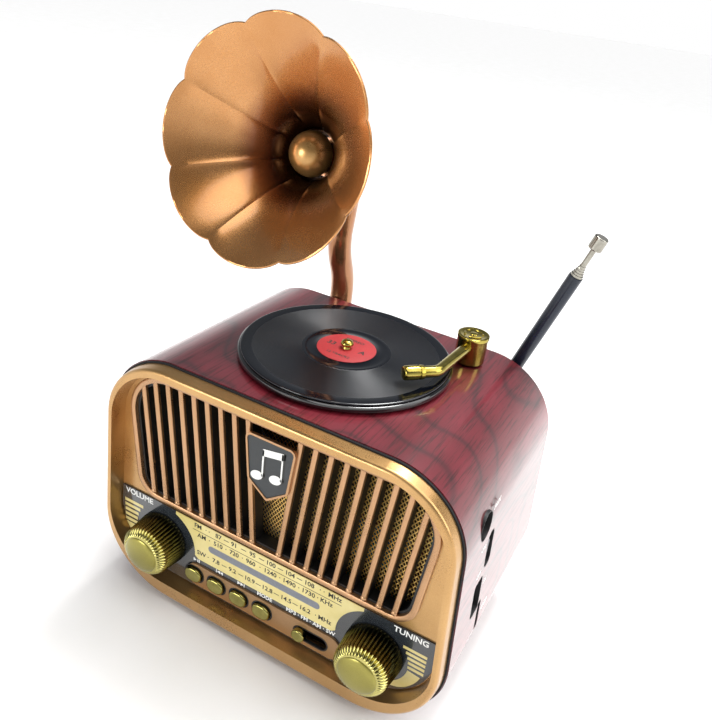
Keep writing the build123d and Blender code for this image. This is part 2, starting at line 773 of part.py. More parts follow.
HEAD_RADIUS = 2.6
HEAD_LENGTH = 7.0
bend_length = hypot(ARM_TIP[0] - ARM_BEND[0], ARM_TIP[1] - ARM_BEND[1])
head_start = (
    ARM_TIP[0] + (ARM_BEND[0] - ARM_TIP[0]) * HEAD_LENGTH / bend_length,
    ARM_TIP[1] + (ARM_BEND[1] - ARM_TIP[1]) * HEAD_LENGTH / bend_length,
)

with BuildPart() as tonearm_tube:
    with BuildLine() as arm_path:
        FilletPolyline(
            (POST_X, POST_Y, ARM_Z), (*ARM_BEND, ARM_Z), (*head_start, ARM_Z), radius=4.0,
        )
    with BuildSketch(arm_plane):
        Circle(ARM_RADIUS)
    sweep()
save(tonearm_tube.part, "tonearm_tube")

with BuildPart() as tonearm_head:
    head_plane = Plane(
        origin=(*head_start, ARM_Z),
        z_dir=(ARM_TIP[0] - ARM_BEND[0], ARM_TIP[1] - ARM_BEND[1], 0),
    )
    with BuildSketch(head_plane):
        Circle(HEAD_RADIUS)
    extrude(amount=HEAD_LENGTH)
    fillet(tonearm_head.edges().filter_by(GeomType.CIRCLE), radius=0.4)
save(tonearm_head.part, "tonearm_head")

# ================= horn =================

tilt = radians(HORN_TILT)
MOUTH = Vector(HORN_X, MOUTH_Y, MOUTH_Z)
INWARD = Vector(0, cos(tilt), -sin(tilt))
# local x across the horn, local y along its axis into the throat
horn_plane = Plane(origin=MOUTH, x_dir=(1, 0, 0), z_dir=(0, sin(tilt), cos(tilt)))
mouth_plane = Plane(origin=MOUTH, x_dir=(1, 0, 0), z_dir=-INWARD)


def flare_radius(depth):
    """Inner radius of the bell at a depth behind the mouth."""
    open_part = max(0.0, 1 - depth / FLARE_LENGTH)
    return THROAT_RADIUS + (PETAL_RADIUS - THROAT_RADIUS) * open_part ** FLARE_POWER


flare_steps = [THROAT_DEPTH * step / 10 for step in range(11)]

with BuildPart() as horn_bell:
    with BuildSketch(horn_plane):
        with BuildLine():
            inner = Spline(*[(flare_radius(depth), depth) for depth in flare_steps])
            outer = Spline(*[(flare_radius(depth) + HORN_WALL, depth + 1.0) for depth in flare_steps])
            Line(inner @ 0, outer @ 0)
            Polyline(
                inner @ 1, (THROAT_RADIUS, THROAT_DEPTH), (THROAT_RADIUS, SOCKET_DEPTH),
                (THROAT_RADIUS + HORN_WALL, SOCKET_DEPTH), (THROAT_RADIUS + HORN_WALL, THROAT_DEPTH + 3), outer @ 1,
            )
        make_face()
    revolve(axis=Axis(MOUTH, INWARD))
    # the rim is cut to eight rounded petals
    with BuildSketch(mouth_plane.offset(5)):
        with BuildLine():
            for petal in range(PETALS):
                start = radians((petal - 0.5) * 360 / PETALS + 90)
                middle = start + radians(180 / PETALS)
                end = start + radians(360 / PETALS)
                ThreePointArc(
                    (NOTCH_RADIUS * cos(start), NOTCH_RADIUS * sin(start)),
                    (PETAL_RADIUS * cos(middle), PETAL_RADIUS * sin(middle)),
                    (NOTCH_RADIUS * cos(end), NOTCH_RADIUS * sin(end)),
                )
        make_face()
    extrude(amount=-SOCKET_DEPTH - 10, mode=Mode.INTERSECT)
save(horn_bell.part, "horn_bell")

DOME_RADIUS = 8.2
DOME_DISC = 1.5

with BuildPart() as throat_dome:
    with BuildSketch(mouth_plane.offset(-THROAT_DEPTH)):
        Circle(THROAT_RADIUS + 1.5)
    extrude(amount=DOME_DISC)
    with BuildSketch(horn_plane):
        with BuildLine():
            dome_rear = THROAT_DEPTH - DOME_DISC
            Line((0, dome_rear), (DOME_RADIUS, dome_rear))
            RadiusArc((DOME_RADIUS, dome_rear), (0, dome_rear - DOME_RADIUS), DOME_RADIUS)
            Line((0, dome_rear - DOME_RADIUS), (0, dome_rear))
        make_face()
    revolve(axis=Axis(MOUTH, INWARD))
save(throat_dome.part, "throat_dome")

NECK_LOW = SOCKET_TOP + BODY_GAP
NECK_BEND_LOW = 115.5
NECK_BEND_HIGH = 131.0
NECK_TAPER_END = 138.0
elbow_turn = radians(90 - HORN_TILT)
elbow_run = NECK_ELBOW * tan(elbow_turn / 2) + 1
elbow_depth = (NECK_UPPER_Y - MOUTH_Y) / cos(tilt)
elbow_corner = MOUTH + INWARD * elbow_depth
elbow_start = elbow_corner - INWARD * elbow_run
elbow_end = elbow_corner - Vector(0, 0, elbow_run)

with BuildPart() as horn_neck:
    # plug that fits the bell's socket, and the straight run behind it
    with BuildSketch(mouth_plane.offset(-THROAT_DEPTH)):
        Circle(THROAT_RADIUS - RUNNING_GAP)
    extrude(amount=-(SOCKET_DEPTH - THROAT_DEPTH))
    with BuildSketch(mouth_plane.offset(-SOCKET_DEPTH)):
        Circle(NECK_HIGH_RADIUS)
    extrude(amount=-(elbow_depth - elbow_run - SOCKET_DEPTH))
    with BuildLine():
        FilletPolyline(elbow_start, elbow_corner, elbow_end, radius=NECK_ELBOW)
    with BuildSketch(Plane(origin=elbow_start, z_dir=INWARD)):
        Circle(NECK_HIGH_RADIUS)
    sweep()
    # taper down behind the cabinet
    with BuildSketch(Plane.XY.offset(NECK_TAPER_END)):
        with Locations((HORN_X, NECK_UPPER_Y)):
            Circle(NECK_LOW_RADIUS)
    with BuildSketch(Plane.XY.offset(elbow_end.Z)):
        with Locations((HORN_X, NECK_UPPER_Y)):
            Circle(NECK_HIGH_RADIUS)
    loft()
    # double bend behind the cabinet
    with BuildLine():
        FilletPolyline(
            (HORN_X, NECK_Y, NECK_LOW), (HORN_X, NECK_Y, NECK_BEND_LOW),
            (HORN_X, NECK_UPPER_Y, NECK_BEND_HIGH), (HORN_X, NECK_UPPER_Y, NECK_TAPER_END), radius=30.0,
        )
    with BuildSketch(Plane.XY.offset(NECK_LOW)):
        with Locations((HORN_X, NECK_Y)):
            Circle(NECK_LOW_RADIUS)
    sweep()
    # spigot that turns in the socket
    with BuildSketch(Plane.XY.offset(SOCKET_LOW + 4)):
        with Locations((HORN_X, NECK_Y)):
            Circle(SPIGOT_RADIUS)
    extrude(amount=NECK_LOW - SOCKET_LOW - 4)
save(horn_neck.part, "horn_neck")

with BuildPart() as horn_socket:
    with BuildSketch(Plane.XY.offset(SOCKET_LOW)):
        with Locations((HORN_X, NECK_Y)):
            Circle(SOCKET_HALF)
        with Locations((HORN_X, (NECK_Y + CABINET_HALF_DEPTH) / 2)):
            Rectangle(2 * SOCKET_HALF, NECK_Y - CABINET_HALF_DEPTH)
        with Locations((HORN_X, CABINET_HALF_DEPTH - 5)):
            Rectangle(2 * SOCKET_HALF + 1, 10, mode=Mode.SUBTRACT)
    extrude(amount=SOCKET_TOP - SOCKET_LOW)
    with BuildSketch(Plane.XY.offset(SOCKET_LOW + 4 - BODY_GAP)):
        with Locations((HORN_X, NECK_Y)):
            Circle(SPIGOT_RADIUS + RUNNING_GAP)
    extrude(amount=SOCKET_TOP - SOCKET_LOW, mode=Mode.SUBTRACT)
save(horn_socket.part, "horn_socket")

# ================= aerial =================

lean = radians(AERIAL_LEAN)
PIVOT = Vector(AERIAL_X, AERIAL_Y, AERIAL_Z)
ALONG = Vector(sin(lean), 0, cos(lean))
ACROSS = Vector(cos(lean), 0, -sin(lean))
# local x across the arm, local y to the rear
arm_base = Plane(origin=PIVOT, x_dir=ACROSS, z_dir=ALONG)
# local x across the arm, local y along it, outwards is -Y
fold_side = Plane(origin=PIVOT, x_dir=ACROSS, z_dir=(0, -1, 0))
KNUCKLE_RADIUS = 5.6
KNUCKLE_FRONT = CABINET_HALF_DEPTH + 1.5
KNUCKLE_REAR = AERIAL_Y + 3.2
MOUNT_REAR = CABINET_HALF_DEPTH + 1.2
STUB_RADIUS = 2.0
TONGUE_HALF = 1.5
TONGUE_RADIUS = 2.6
PIN_RADIUS = 1.0
SLEEVE_START = 7.0

with BuildPart() as aerial_mount:
    with BuildSketch(front_plane(MOUNT_REAR)):
        with Locations((AERIAL_X, AERIAL_Z)):
            Circle(5.0)
            Circle(STUB_RADIUS + RUNNING_GAP, mode=Mode.SUBTRACT)
    extrude(amount=MOUNT_REAR - COVER_FRONT)
save(aerial_mount.part, "aerial_mount")

with BuildPart() as aerial_knuckle:
    with BuildSketch(front_plane(KNUCKLE_REAR)):
        with Locations((AERIAL_X, AERIAL_Z)):
            Circle(KNUCKLE_RADIUS)
    extrude(amount=KNUCKLE_REAR - KNUCKLE_FRONT)
    with BuildSketch(front_plane(KNUCKLE_FRONT)):
        with Locations((AERIAL_X, AERIAL_Z)):
            Circle(STUB_RADIUS)
    extrude(amount=KNUCKLE_FRONT - COVER_FRONT)
    # slot for the tongue, open along the arm and to the rear
    with BuildSketch(fold_side.offset(TONGUE_RADIUS + BODY_GAP)):
        with Locations((0, 5)):
            Rectangle(2 * (TONGUE_HALF + BODY_GAP), 10 + 2 * (TONGUE_RADIUS + BODY_GAP))
    extrude(amount=-20, mode=Mode.SUBTRACT)
    with BuildSketch(Plane(origin=PIVOT, x_dir=(0, 1, 0), z_dir=ACROSS)):
        Circle(PIN_RADIUS)
    extrude(amount=10, both=True, mode=Mode.SUBTRACT)
save(aerial_knuckle.part, "aerial_knuckle")

with BuildPart() as aerial_pin:
    with BuildSketch(Plane(origin=PIVOT, x_dir=(0, 1, 0), z_dir=ACROSS)):
        Circle(PIN_RADIUS)
    extrude(amount=4.6, both=True)
save(aerial_pin.part, "aerial_pin")

with BuildPart() as aerial_sleeve:
    with BuildSketch(arm_base.offset(SLEEVE_START)):
        Circle(SLEEVE_RADIUS)
    extrude(amount=SLEEVE_END - SLEEVE_START)
    # flat tongue round the pin
    with BuildSketch(Plane(origin=PIVOT, x_dir=(0, 1, 0), z_dir=ACROSS)):
        Circle(TONGUE_RADIUS)
    extrude(amount=TONGUE_HALF, both=True)
    with BuildSketch(arm_base):
        Rectangle(2 * TONGUE_HALF, 2 * TONGUE_RADIUS)
    extrude(amount=SLEEVE_START + 0.5)
    with BuildSketch(Plane(origin=PIVOT, x_dir=(0, 1, 0), z_dir=ACROSS)):
        Circle(PIN_RADIUS + RUNNING_GAP)
    extrude(amount=10, both=True, mode=Mode.SUBTRACT)
    with BuildSketch(arm_base.offset(SLEEVE_START + 2)):
        Circle(1.9 + RUNNING_GAP)
    extrude(amount=SLEEVE_END, mode=Mode.SUBTRACT)
save(aerial_sleeve.part, "aerial_sleeve")

STAGE_START = SLEEVE_START + 2.5

with BuildPart() as aerial_stage:
    with BuildSketch(arm_base.offset(STAGE_START)):
        Circle(1.9)
        Circle(1.1 + RUNNING_GAP, mode=Mode.SUBTRACT)
    extrude(amount=STAGE_END - STAGE_START)
save(aerial_stage.part, "aerial_stage")

with BuildPart() as aerial_rod:
    with BuildSketch(arm_base.offset(STAGE_START + 2)):
        Circle(1.1)
    extrude(amount=TIP_START + 1.5 - STAGE_START - 2)
save(aerial_rod.part, "aerial_rod")

with BuildPart() as aerial_tip:
    with BuildSketch(arm_base.offset(TIP_START)):
        Circle(2.7)
    extrude(amount=TIP_END - TIP_START)
    fillet(aerial_tip.edges().filter_by(GeomType.CIRCLE), radius=0.5)
    with BuildSketch(arm_base.offset(TIP_START)):
        Circle(1.1)
    extrude(amount=1.5, mode=Mode.SUBTRACT)
save(aerial_tip.part, "aerial_tip")

# ================= sockets and switch in the right-hand side =================


def side_reach(z, inset):
    """X of a point inset from the cabinet's outer side at height z."""
    return half_width(z) - inset


with BuildPart() as jack_socket:
    with BuildSketch(Plane.YZ.offset(SIDE_BOARD_X)):
        with Locations((JACK_Y, JACK_Z)):
            Rectangle(9.0, 9.0)
    extrude(amount=9.0)
    with BuildSketch(Plane.YZ.offset(SIDE_BOARD_X + 9)):
        with Locations((JACK_Y, JACK_Z)):
            Circle(3.6)
    extrude(amount=side_reach(JACK_Z, 1.6) - SIDE_BOARD_X - 9)
    with BuildSketch(Plane.YZ.offset(SIDE_BOARD_X + 1)):
        with Locations((JACK_Y, JACK_Z)):
            Circle(1.8)
    extrude(amount=30, mode=Mode.SUBTRACT)
save(jack_socket.part, "jack_socket")

SWITCH_FACE = side_reach(SWITCH_Z, WALL + 1.4)

with BuildPart() as power_switch:
    with BuildSketch(Plane.YZ.offset(SIDE_BOARD_X)):
        with Locations((SWITCH_Y, SWITCH_Z)):
            Rectangle(7.0, 17.0)
    extrude(amount=SWITCH_FACE - SIDE_BOARD_X - 2)
save(power_switch.part, "power_switch")

with BuildPart() as power_slider:
    with BuildSketch(Plane.YZ.offset(SWITCH_FACE - 2 + BODY_GAP)):
        with Locations((SWITCH_Y, SWITCH_Z - 2.0)):
            SlotOverall(SWITCH_LONG - 2.0 * 2.4, SWITCH_WIDE - 1.6, rotation=90)
    extrude(amount=side_reach(SWITCH_Z, 0.8) - SWITCH_FACE + 2 - BODY_GAP)
    fillet(power_slider.faces().sort_by(Axis.X)[-1].edges(), radius=0.5)
save(power_slider.part, "power_slider")

USB_FACE = side_reach(USB_Z + 7, 1.2)

with BuildPart() as usb_socket:
    with BuildSketch(Plane.YZ.offset(SIDE_BOARD_X)):
        with Locations((USB_Y, USB_Z)):
            RectangleRounded(USB_WIDE - 1.6, USB_LONG - 1.6, 0.6)
    extrude(amount=USB_FACE - SIDE_BOARD_X)
    with BuildSketch(Plane.YZ.offset(SIDE_BOARD_X + 1.5)):
        with Locations((USB_Y, USB_Z)):
            Rectangle(USB_WIDE - 3.0, USB_LONG - 2.8)
    extrude(amount=30, mode=Mode.SUBTRACT)
    # contact tongue
    with BuildSketch(Plane.YZ.offset(SIDE_BOARD_X + 1)):
        with Locations((USB_Y - 1.3, USB_Z)):
            Rectangle(1.7, 10.4)
    extrude(amount=USB_FACE - SIDE_BOARD_X - 2)
save(usb_socket.part, "usb_socket")

CARD_FACE = side_reach(CARD_Z + 6.5, 1.2)

with BuildPart() as card_slot:
    with BuildSketch(Plane.YZ.offset(SIDE_BOARD_X)):
        with Locations((CARD_Y, CARD_Z)):
            Rectangle(CARD_WIDE - 0.6, CARD_LONG - 0.6)
    extrude(amount=CARD_FACE - SIDE_BOARD_X)
    with BuildSketch(Plane.YZ.offset(SIDE_BOARD_X + 1.5)):
        with Locations((CARD_Y, CARD_Z)):
            Rectangle(CARD_WIDE - 2.0, CARD_LONG - 1.8)
    extrude(amount=30, mode=Mode.SUBTRACT)
save(card_slot.part, "card_slot")
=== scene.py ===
from math import cos, pi, radians, sin

import bmesh
import bpy
import numpy as np
from mathutils import Matrix, Vector


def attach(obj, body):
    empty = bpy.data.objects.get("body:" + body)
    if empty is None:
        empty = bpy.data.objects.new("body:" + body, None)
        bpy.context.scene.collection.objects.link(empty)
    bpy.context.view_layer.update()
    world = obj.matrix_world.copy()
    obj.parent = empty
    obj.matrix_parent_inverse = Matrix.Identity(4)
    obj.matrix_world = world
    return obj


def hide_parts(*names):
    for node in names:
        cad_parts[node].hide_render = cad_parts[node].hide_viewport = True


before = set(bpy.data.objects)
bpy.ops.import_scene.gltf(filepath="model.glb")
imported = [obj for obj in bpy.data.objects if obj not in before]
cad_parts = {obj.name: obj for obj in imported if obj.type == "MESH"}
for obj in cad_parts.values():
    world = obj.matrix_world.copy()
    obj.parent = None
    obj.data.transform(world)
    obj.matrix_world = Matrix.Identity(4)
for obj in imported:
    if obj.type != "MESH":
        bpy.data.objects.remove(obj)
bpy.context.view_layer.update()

# ================= room and camera =================
# A sweep of pale matt paper in a white room with a dimmer ceiling. Square soft lights stand
# on the right, above and behind, and in front, and an even wash falls from the ceiling.


def linear(shade):
    """An sRGB hex colour as linear red, green, blue and alpha."""
    srgb = np.array([int(shade[i:i + 2], 16) for i in (1, 3, 5)]) / 255
    value = np.where(srgb <= 0.04045, srgb / 12.92, ((srgb + 0.055) / 1.055) ** 2.4)
    return (*value, 1.0)


def finish(name, shade="#808080", **sockets):
    """A new material with its base colour, and the shader's own sockets set from keywords."""
    material = bpy.data.materials.new(name)
    material.use_nodes = True
    shader = material.node_tree.nodes["Principled BSDF"]
    shader.inputs["Base Color"].default_value = linear(shade)
    for socket, value in sockets.items():
        shader.inputs[socket.replace("_", " ")].default_value = value
    return material, shader


def add(owner, kind, inputs=(), stops=(), out=0, **settings):
    """Adds one node: settings are its properties, inputs are values or other nodes' outputs by
    socket, stops are a ramp's positions and hex colours, and out is the output it returns."""
    tree = owner.node_tree
    node = tree.nodes.new(kind)
    for key, value in settings.items():
        setattr(node, key, value)
    for socket, value in dict(inputs).items():
        if isinstance(value, bpy.types.NodeSocket):
            tree.links.new(value, node.inputs[socket])
        else:
            node.inputs[socket].default_value = value
    for number, (position, shade) in enumerate(stops):
        ramp = node.color_ramp.elements
        stop = ramp[number] if number < 2 else ramp.new(position)
        stop.position, stop.color = position, linear(shade)
    return node.outputs[out]


def wire(owner, shader, **links):
    """Links outputs to a shader's sockets, named by keyword."""
    for socket, output in links.items():
        owner.node_tree.links.new(output, shader.inputs[socket.replace("_", " ")])


# matt coated paper: an even, shineless white with the faintest mottle, 33 mm across
sweep_paper, shader = finish("studio_paper", "#f4f3f1", Roughness=0.9)
paper_place = add(sweep_paper, "ShaderNodeNewGeometry")
mottle = add(sweep_paper, "ShaderNodeTexNoise", {"Vector": paper_place, "Scale": 30.0, "Detail": 3.0})
wire(sweep_paper, shader, Base_Color=add(
    sweep_paper, "ShaderNodeValToRGB", {"Fac": mottle}, stops=[(0.3, "#f2f1ef"), (0.7, "#f6f5f4")]))

FLOOR_HALF = 6.0
floor_mesh = bpy.data.meshes.new("studio_floor")
floor_mesh.from_pydata(
    [(-FLOOR_HALF, -FLOOR_HALF, 0), (FLOOR_HALF, -FLOOR_HALF, 0),
     (FLOOR_HALF, FLOOR_HALF, 0), (-FLOOR_HALF, FLOOR_HALF, 0)], [], [(0, 1, 2, 3)])
floor = bpy.data.objects.new("studio_floor", floor_mesh)
floor_mesh.materials.append(sweep_paper)
bpy.context.scene.collection.objects.link(floor)

world = bpy.data.worlds.new("studio")
world.use_nodes = True
# white walls all round, and a dimmer ceiling that keeps the gloss dark seen from above
height = add(world, "ShaderNodeSeparateXYZ", {"Vector": add(world, "ShaderNodeTexCoord")}, out="Z")
wire(world, world.node_tree.nodes["Background"], Color=add(
    world, "ShaderNodeValToRGB", {"Fac": height},
    stops=[(0.12, "#ffffff"), (0.4, "#8f9296"), (1.0, "#5d6065")]))
bpy.context.scene.world = world
bpy.context.scene.view_settings.view_transform = "Standard"

OBJECT_MIDDLE = Vector((0.0, 0.0, 0.09))
for light_name, spot, size, power in (
    ("softbox_right", (0.95, 0.10, 0.50), 0.6, 4.0),
    ("softbox_above", (0.05, 0.45, 1.10), 0.3, 8.0),
    ("softbox_front", (-0.50, -1.15, 0.38), 0.5, 6.0),
):
    lamp = bpy.data.lights.new(light_name, "AREA")
    lamp.shape, lamp.size, lamp.energy = "SQUARE", size, power
    stand = bpy.data.objects.new(light_name, lamp)
    stand.location = spot
    stand.rotation_euler = (OBJECT_MIDDLE - Vector(spot)).to_track_quat("-Z", "Y").to_euler()
    bpy.context.scene.collection.objects.link(stand)

# an even wash from the ceiling keeps the sweep white out to the wall
wash = bpy.data.lights.new("ceiling_wash", "SUN")
wash.energy, wash.angle = 2.8, radians(70)
wash_stand = bpy.data.objects.new("ceiling_wash", wash)
wash_stand.rotation_euler = (radians(-8), radians(18), 0)
bpy.context.scene.collection.objects.link(wash_stand)

# looking down 28 degrees from the front right, with the horizon rolled a little
EYE = (0.1061, -0.2125, 0.2339)
lens = bpy.data.cameras.new("camera")
lens.sensor_fit, lens.sensor_height, lens.lens = "VERTICAL", 36.0, 36.375
lens.clip_start, lens.clip_end = 0.01, 30.0
camera = bpy.data.objects.new("camera", lens)
right = Vector((0.8669, 0.4843, 0.1182)).normalized()
ahead = Vector((-0.3813, 0.7968, -0.4688)).normalized()
up = right.cross(ahead)
camera.matrix_world = Matrix.Translation(EYE) @ Matrix((
    (right.x, up.x, -ahead.x), (right.y, up.y, -ahead.y), (right.z, up.z, -ahead.z))).to_4x4()
bpy.context.scene.collection.objects.link(camera)
bpy.context.scene.camera = camera

# ================= cabinet =================
# A board tube in the shape of a rounded trapezoid, wrapped front to back in a printed
# mahogany foil and clear lacquered, so it is dark red, streaked and glossy.


def coat(material, *names):
    """Gives CAD pieces of the frame their finish."""
    for name in names:
        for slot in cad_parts[name].material_slots:
            slot.material = material


# lacquered wood foil: dark red figure under a clear coat that mirrors the lights softly
mahogany, shader = finish(
    "mahogany_foil", "#6b1a20", Roughness=0.34, Coat_Weight=0.9, Coat_Roughness=0.07)
mahogany_place = add(mahogany, "ShaderNodeTexCoord", out="Object")
# the figure runs front to back, so each scale is (across, along, across) the grain in metres:
# the swell that bends the rings, the paler patches, and the open pores, which are short dark
# dashes drawn wider than real ones so that they show
RING_SIZE, PATCH_SIZE, PORE_SIZE = (0.060, 0.115), (0.018, 0.070), (0.0007, 0.016)
RING_PHASE, RING_START = 78.0, (0.4, 2.2, 1.3)


def grain_place(size, start=(0.0, 0.0, 0.0)):
    """Object coordinates stretched so that one unit is size across and along the grain."""
    across, along = size
    return add(mahogany, "ShaderNodeMapping", {
        "Vector": mahogany_place, "Location": start, "Scale": (1 / across, 1 / along, 1 / across)})


# growth rings cut at a slant: contour lines of the slow swell
swell = add(mahogany, "ShaderNodeTexNoise", {
    "Vector": grain_place(RING_SIZE, RING_START),
    "Scale": 1.0, "Detail": 1.2, "Roughness": 0.45, "Distortion": 0.25})
ring_turn = add(mahogany, "ShaderNodeMath", {0: swell, 1: RING_PHASE}, operation="MULTIPLY")
rings = add(mahogany, "ShaderNodeMath", {0: ring_turn}, operation="SINE")
pores = add(mahogany, "ShaderNodeTexNoise", {
    "Vector": grain_place(PORE_SIZE), "Scale": 1.0, "Detail": 3.0, "Roughness": 0.6})
patches = add(mahogany, "ShaderNodeTexNoise", {
    "Vector": grain_place(PATCH_SIZE), "Scale": 1.0, "Detail": 2.0})
ring_shade = add(mahogany, "ShaderNodeValToRGB", {
    "Fac": add(mahogany, "ShaderNodeMapRange", {"Value": rings, "From Min": -1.0, "From Max": 1.0})},
    stops=[(0.0, "#53171f"), (0.04, "#611a24"), (0.14, "#6d1c27"), (1.0, "#751f2b")])
wood_patches = add(mahogany, "ShaderNodeValToRGB", {"Fac": patches},
                   stops=[(0.3, "#c9b0b0"), (0.62, "#ffffff")])
pore_shade = add(mahogany, "ShaderNodeValToRGB", {"Fac": pores},
                 stops=[(0.36, "#b39797"), (0.5, "#ffffff")])
wood_shade = add(mahogany, "ShaderNodeVectorMath", {
    0: ring_shade, 1: add(mahogany, "ShaderNodeVectorMath", {
        0: wood_patches, 1: pore_shade}, operation="MULTIPLY")}, operation="MULTIPLY")
wire(mahogany, shader, Base_Color=wood_shade,
     Roughness=add(mahogany, "ShaderNodeMapRange", {"Value": pores, "To Min": 0.42, "To Max": 0.28}),
     Normal=add(mahogany, "ShaderNodeBump", {"Height": pores, "Strength": 0.12, "Distance": 0.00008}))
coat(mahogany, "cabinet_shell")

# ================= front seal =================
# A strip of black foam rubber between the cabinet and the bezel, cut from sheet and
# glued on. It is matt and very slightly pitted.


def moulded(name, shade, worn_shade, grit, rough=(0.4, 0.55), depth=0.00004, **sockets):
    """A finish with fine mottle: noise of that grit in metres, three parts to two with noise
    eight times as broad, varies the shade and the roughness between rough's two values, and
    the fine noise alone the surface height."""
    material, shader = finish(name, shade, **sockets)
    spot = add(material, "ShaderNodeTexCoord", out="Object")
    fine = add(material, "ShaderNodeTexNoise", {"Vector": spot, "Scale": 1 / grit, "Detail": 4.0})
    broad = add(material, "ShaderNodeTexNoise", {"Vector": spot, "Scale": 0.12 / grit, "Detail": 2.0})
    both = add(material, "ShaderNodeMath", {
        0: add(material, "ShaderNodeMath", {0: fine, 1: 0.6}, operation="MULTIPLY"),
        1: add(material, "ShaderNodeMath", {0: broad, 1: 0.4}, operation="MULTIPLY")}, operation="ADD")
    wire(material, shader,
         Base_Color=add(material, "ShaderNodeValToRGB", {"Fac": both},
                        stops=[(0.32, shade), (0.68, worn_shade)]),
         Roughness=add(material, "ShaderNodeMapRange", {
             "Value": both, "From Min": 0.3, "From Max": 0.7, "To Min": rough[0], "To Max": rough[1]}),
         Normal=add(material, "ShaderNodeBump", {"Height": fine, "Strength": 0.5, "Distance": depth}))
    return material


# cut foam rubber: dull black, broken by open cells
foam_rubber = moulded("foam_rubber", "#0b0b0c", "#141416", 0.0006, rough=(0.75, 0.92), depth=0.0001)
coat(foam_rubber, "front_seal")

# ================= bezel =================
# One ABS moulding with the rim and the sunk front panel, sprayed in copper lacquer whose
# fine flakes give it a satin, slightly grainy glow that is brighter on the edges.


FLAKE_SHARE, CLOUD_SHARE, CLOUD_WIDE = 0.18, 0.82, 0.022


def metal_lacquer(name, shade, light_shade, rough, flake, metal=0.85, gloss=0.2, grain=0.06):
    """Sprayed metallic lacquer: cells of flake metres and soft clouds vary the shade and the
    roughness about rough, and the cells tip the normal by grain. The flakes are drawn several
    times as wide as real ones so that they show."""
    material, shader = finish(name, shade, Metallic=metal, Coat_Weight=gloss, Coat_Roughness=0.12)
    spot = add(material, "ShaderNodeTexCoord", out="Object")
    flakes = add(material, "ShaderNodeTexVoronoi", {"Vector": spot, "Scale": 1 / flake})
    flake_tone = add(material, "ShaderNodeSeparateColor", {"Color": flakes.node.outputs["Color"]})
    cloud = add(material, "ShaderNodeTexNoise", {"Vector": spot, "Scale": 1 / CLOUD_WIDE, "Detail": 3.0})
    tone = add(material, "ShaderNodeMath", {
        0: add(material, "ShaderNodeMath", {0: flake_tone, 1: FLAKE_SHARE}, operation="MULTIPLY"),
        1: add(material, "ShaderNodeMath", {0: cloud, 1: CLOUD_SHARE}, operation="MULTIPLY")},
        operation="ADD")
    wire(material, shader,
         Base_Color=add(material, "ShaderNodeValToRGB", {"Fac": tone},
                        stops=[(0.3, shade), (0.7, light_shade)]),
         Roughness=add(material, "ShaderNodeMapRange", {
             "Value": tone, "From Min": 0.3, "From Max": 0.7,
             "To Min": rough - 0.03, "To Max": rough + 0.05}),
         Normal=add(material, "ShaderNodeBump", {
             "Height": flakes, "Strength": grain, "Distance": flake * 0.12}))
    return material


# satin copper lacquer: a warm glow that turns bright on the rim's edges
copper_lacquer = metal_lacquer("copper_lacquer", "#b08752", "#c49b64", 0.29, 0.0002, gloss=0.4)
coat(copper_lacquer, "front_bezel")

# ================= grille bars =================
# A second copper ABS moulding: eighteen slanted rounded bars in a beaded frame, each with
# a small nub where it meets the lower bead. It is pressed into the panel from the front.


# sizes below are in millimetres, and each piece is carried to metres as its mesh is made
MM = 0.001


def rounded(corners, radii, steps=8, closed=True):
    """A path with rounded corners. At each corner the arc touches both sides; its centre is on
    their bisector, radius / sin(half the corner's angle) away, and the arc is swept evenly
    from one point of touch to the other."""
    corners = np.array(corners, float)
    middle = corners if closed else corners[1:-1]
    before = np.roll(corners, 1, 0) if closed else corners[:-2]
    after = np.roll(corners, -1, 0) if closed else corners[2:]
    before = before - middle
    after = after - middle
    before /= np.linalg.norm(before, axis=1, keepdims=True)
    after /= np.linalg.norm(after, axis=1, keepdims=True)
    half = (np.arccos(np.clip((before * after).sum(1), -1, 1)) / 2)[:, None]
    radius = np.broadcast_to(np.array(radii, float).reshape(-1, 1), (len(middle), 1))
    bisector = before + after
    bisector /= np.linalg.norm(bisector, axis=1, keepdims=True)
    centre = middle + bisector * radius / np.sin(half)
    start = middle + before * radius / np.tan(half) - centre
    end = middle + after * radius / np.tan(half) - centre
    share = np.linspace(0, 1, steps + 1)[None, :, None]
    turn = (pi - 2 * half)[:, :, None]
    arcs = centre[:, None] + (start[:, None] * np.sin((1 - share) * turn)
                              + end[:, None] * np.sin(share * turn)) / np.sin(turn)
    path = arcs.reshape(-1, corners.shape[1])
    return path if closed else np.vstack([corners[:1], path, corners[-1:]])


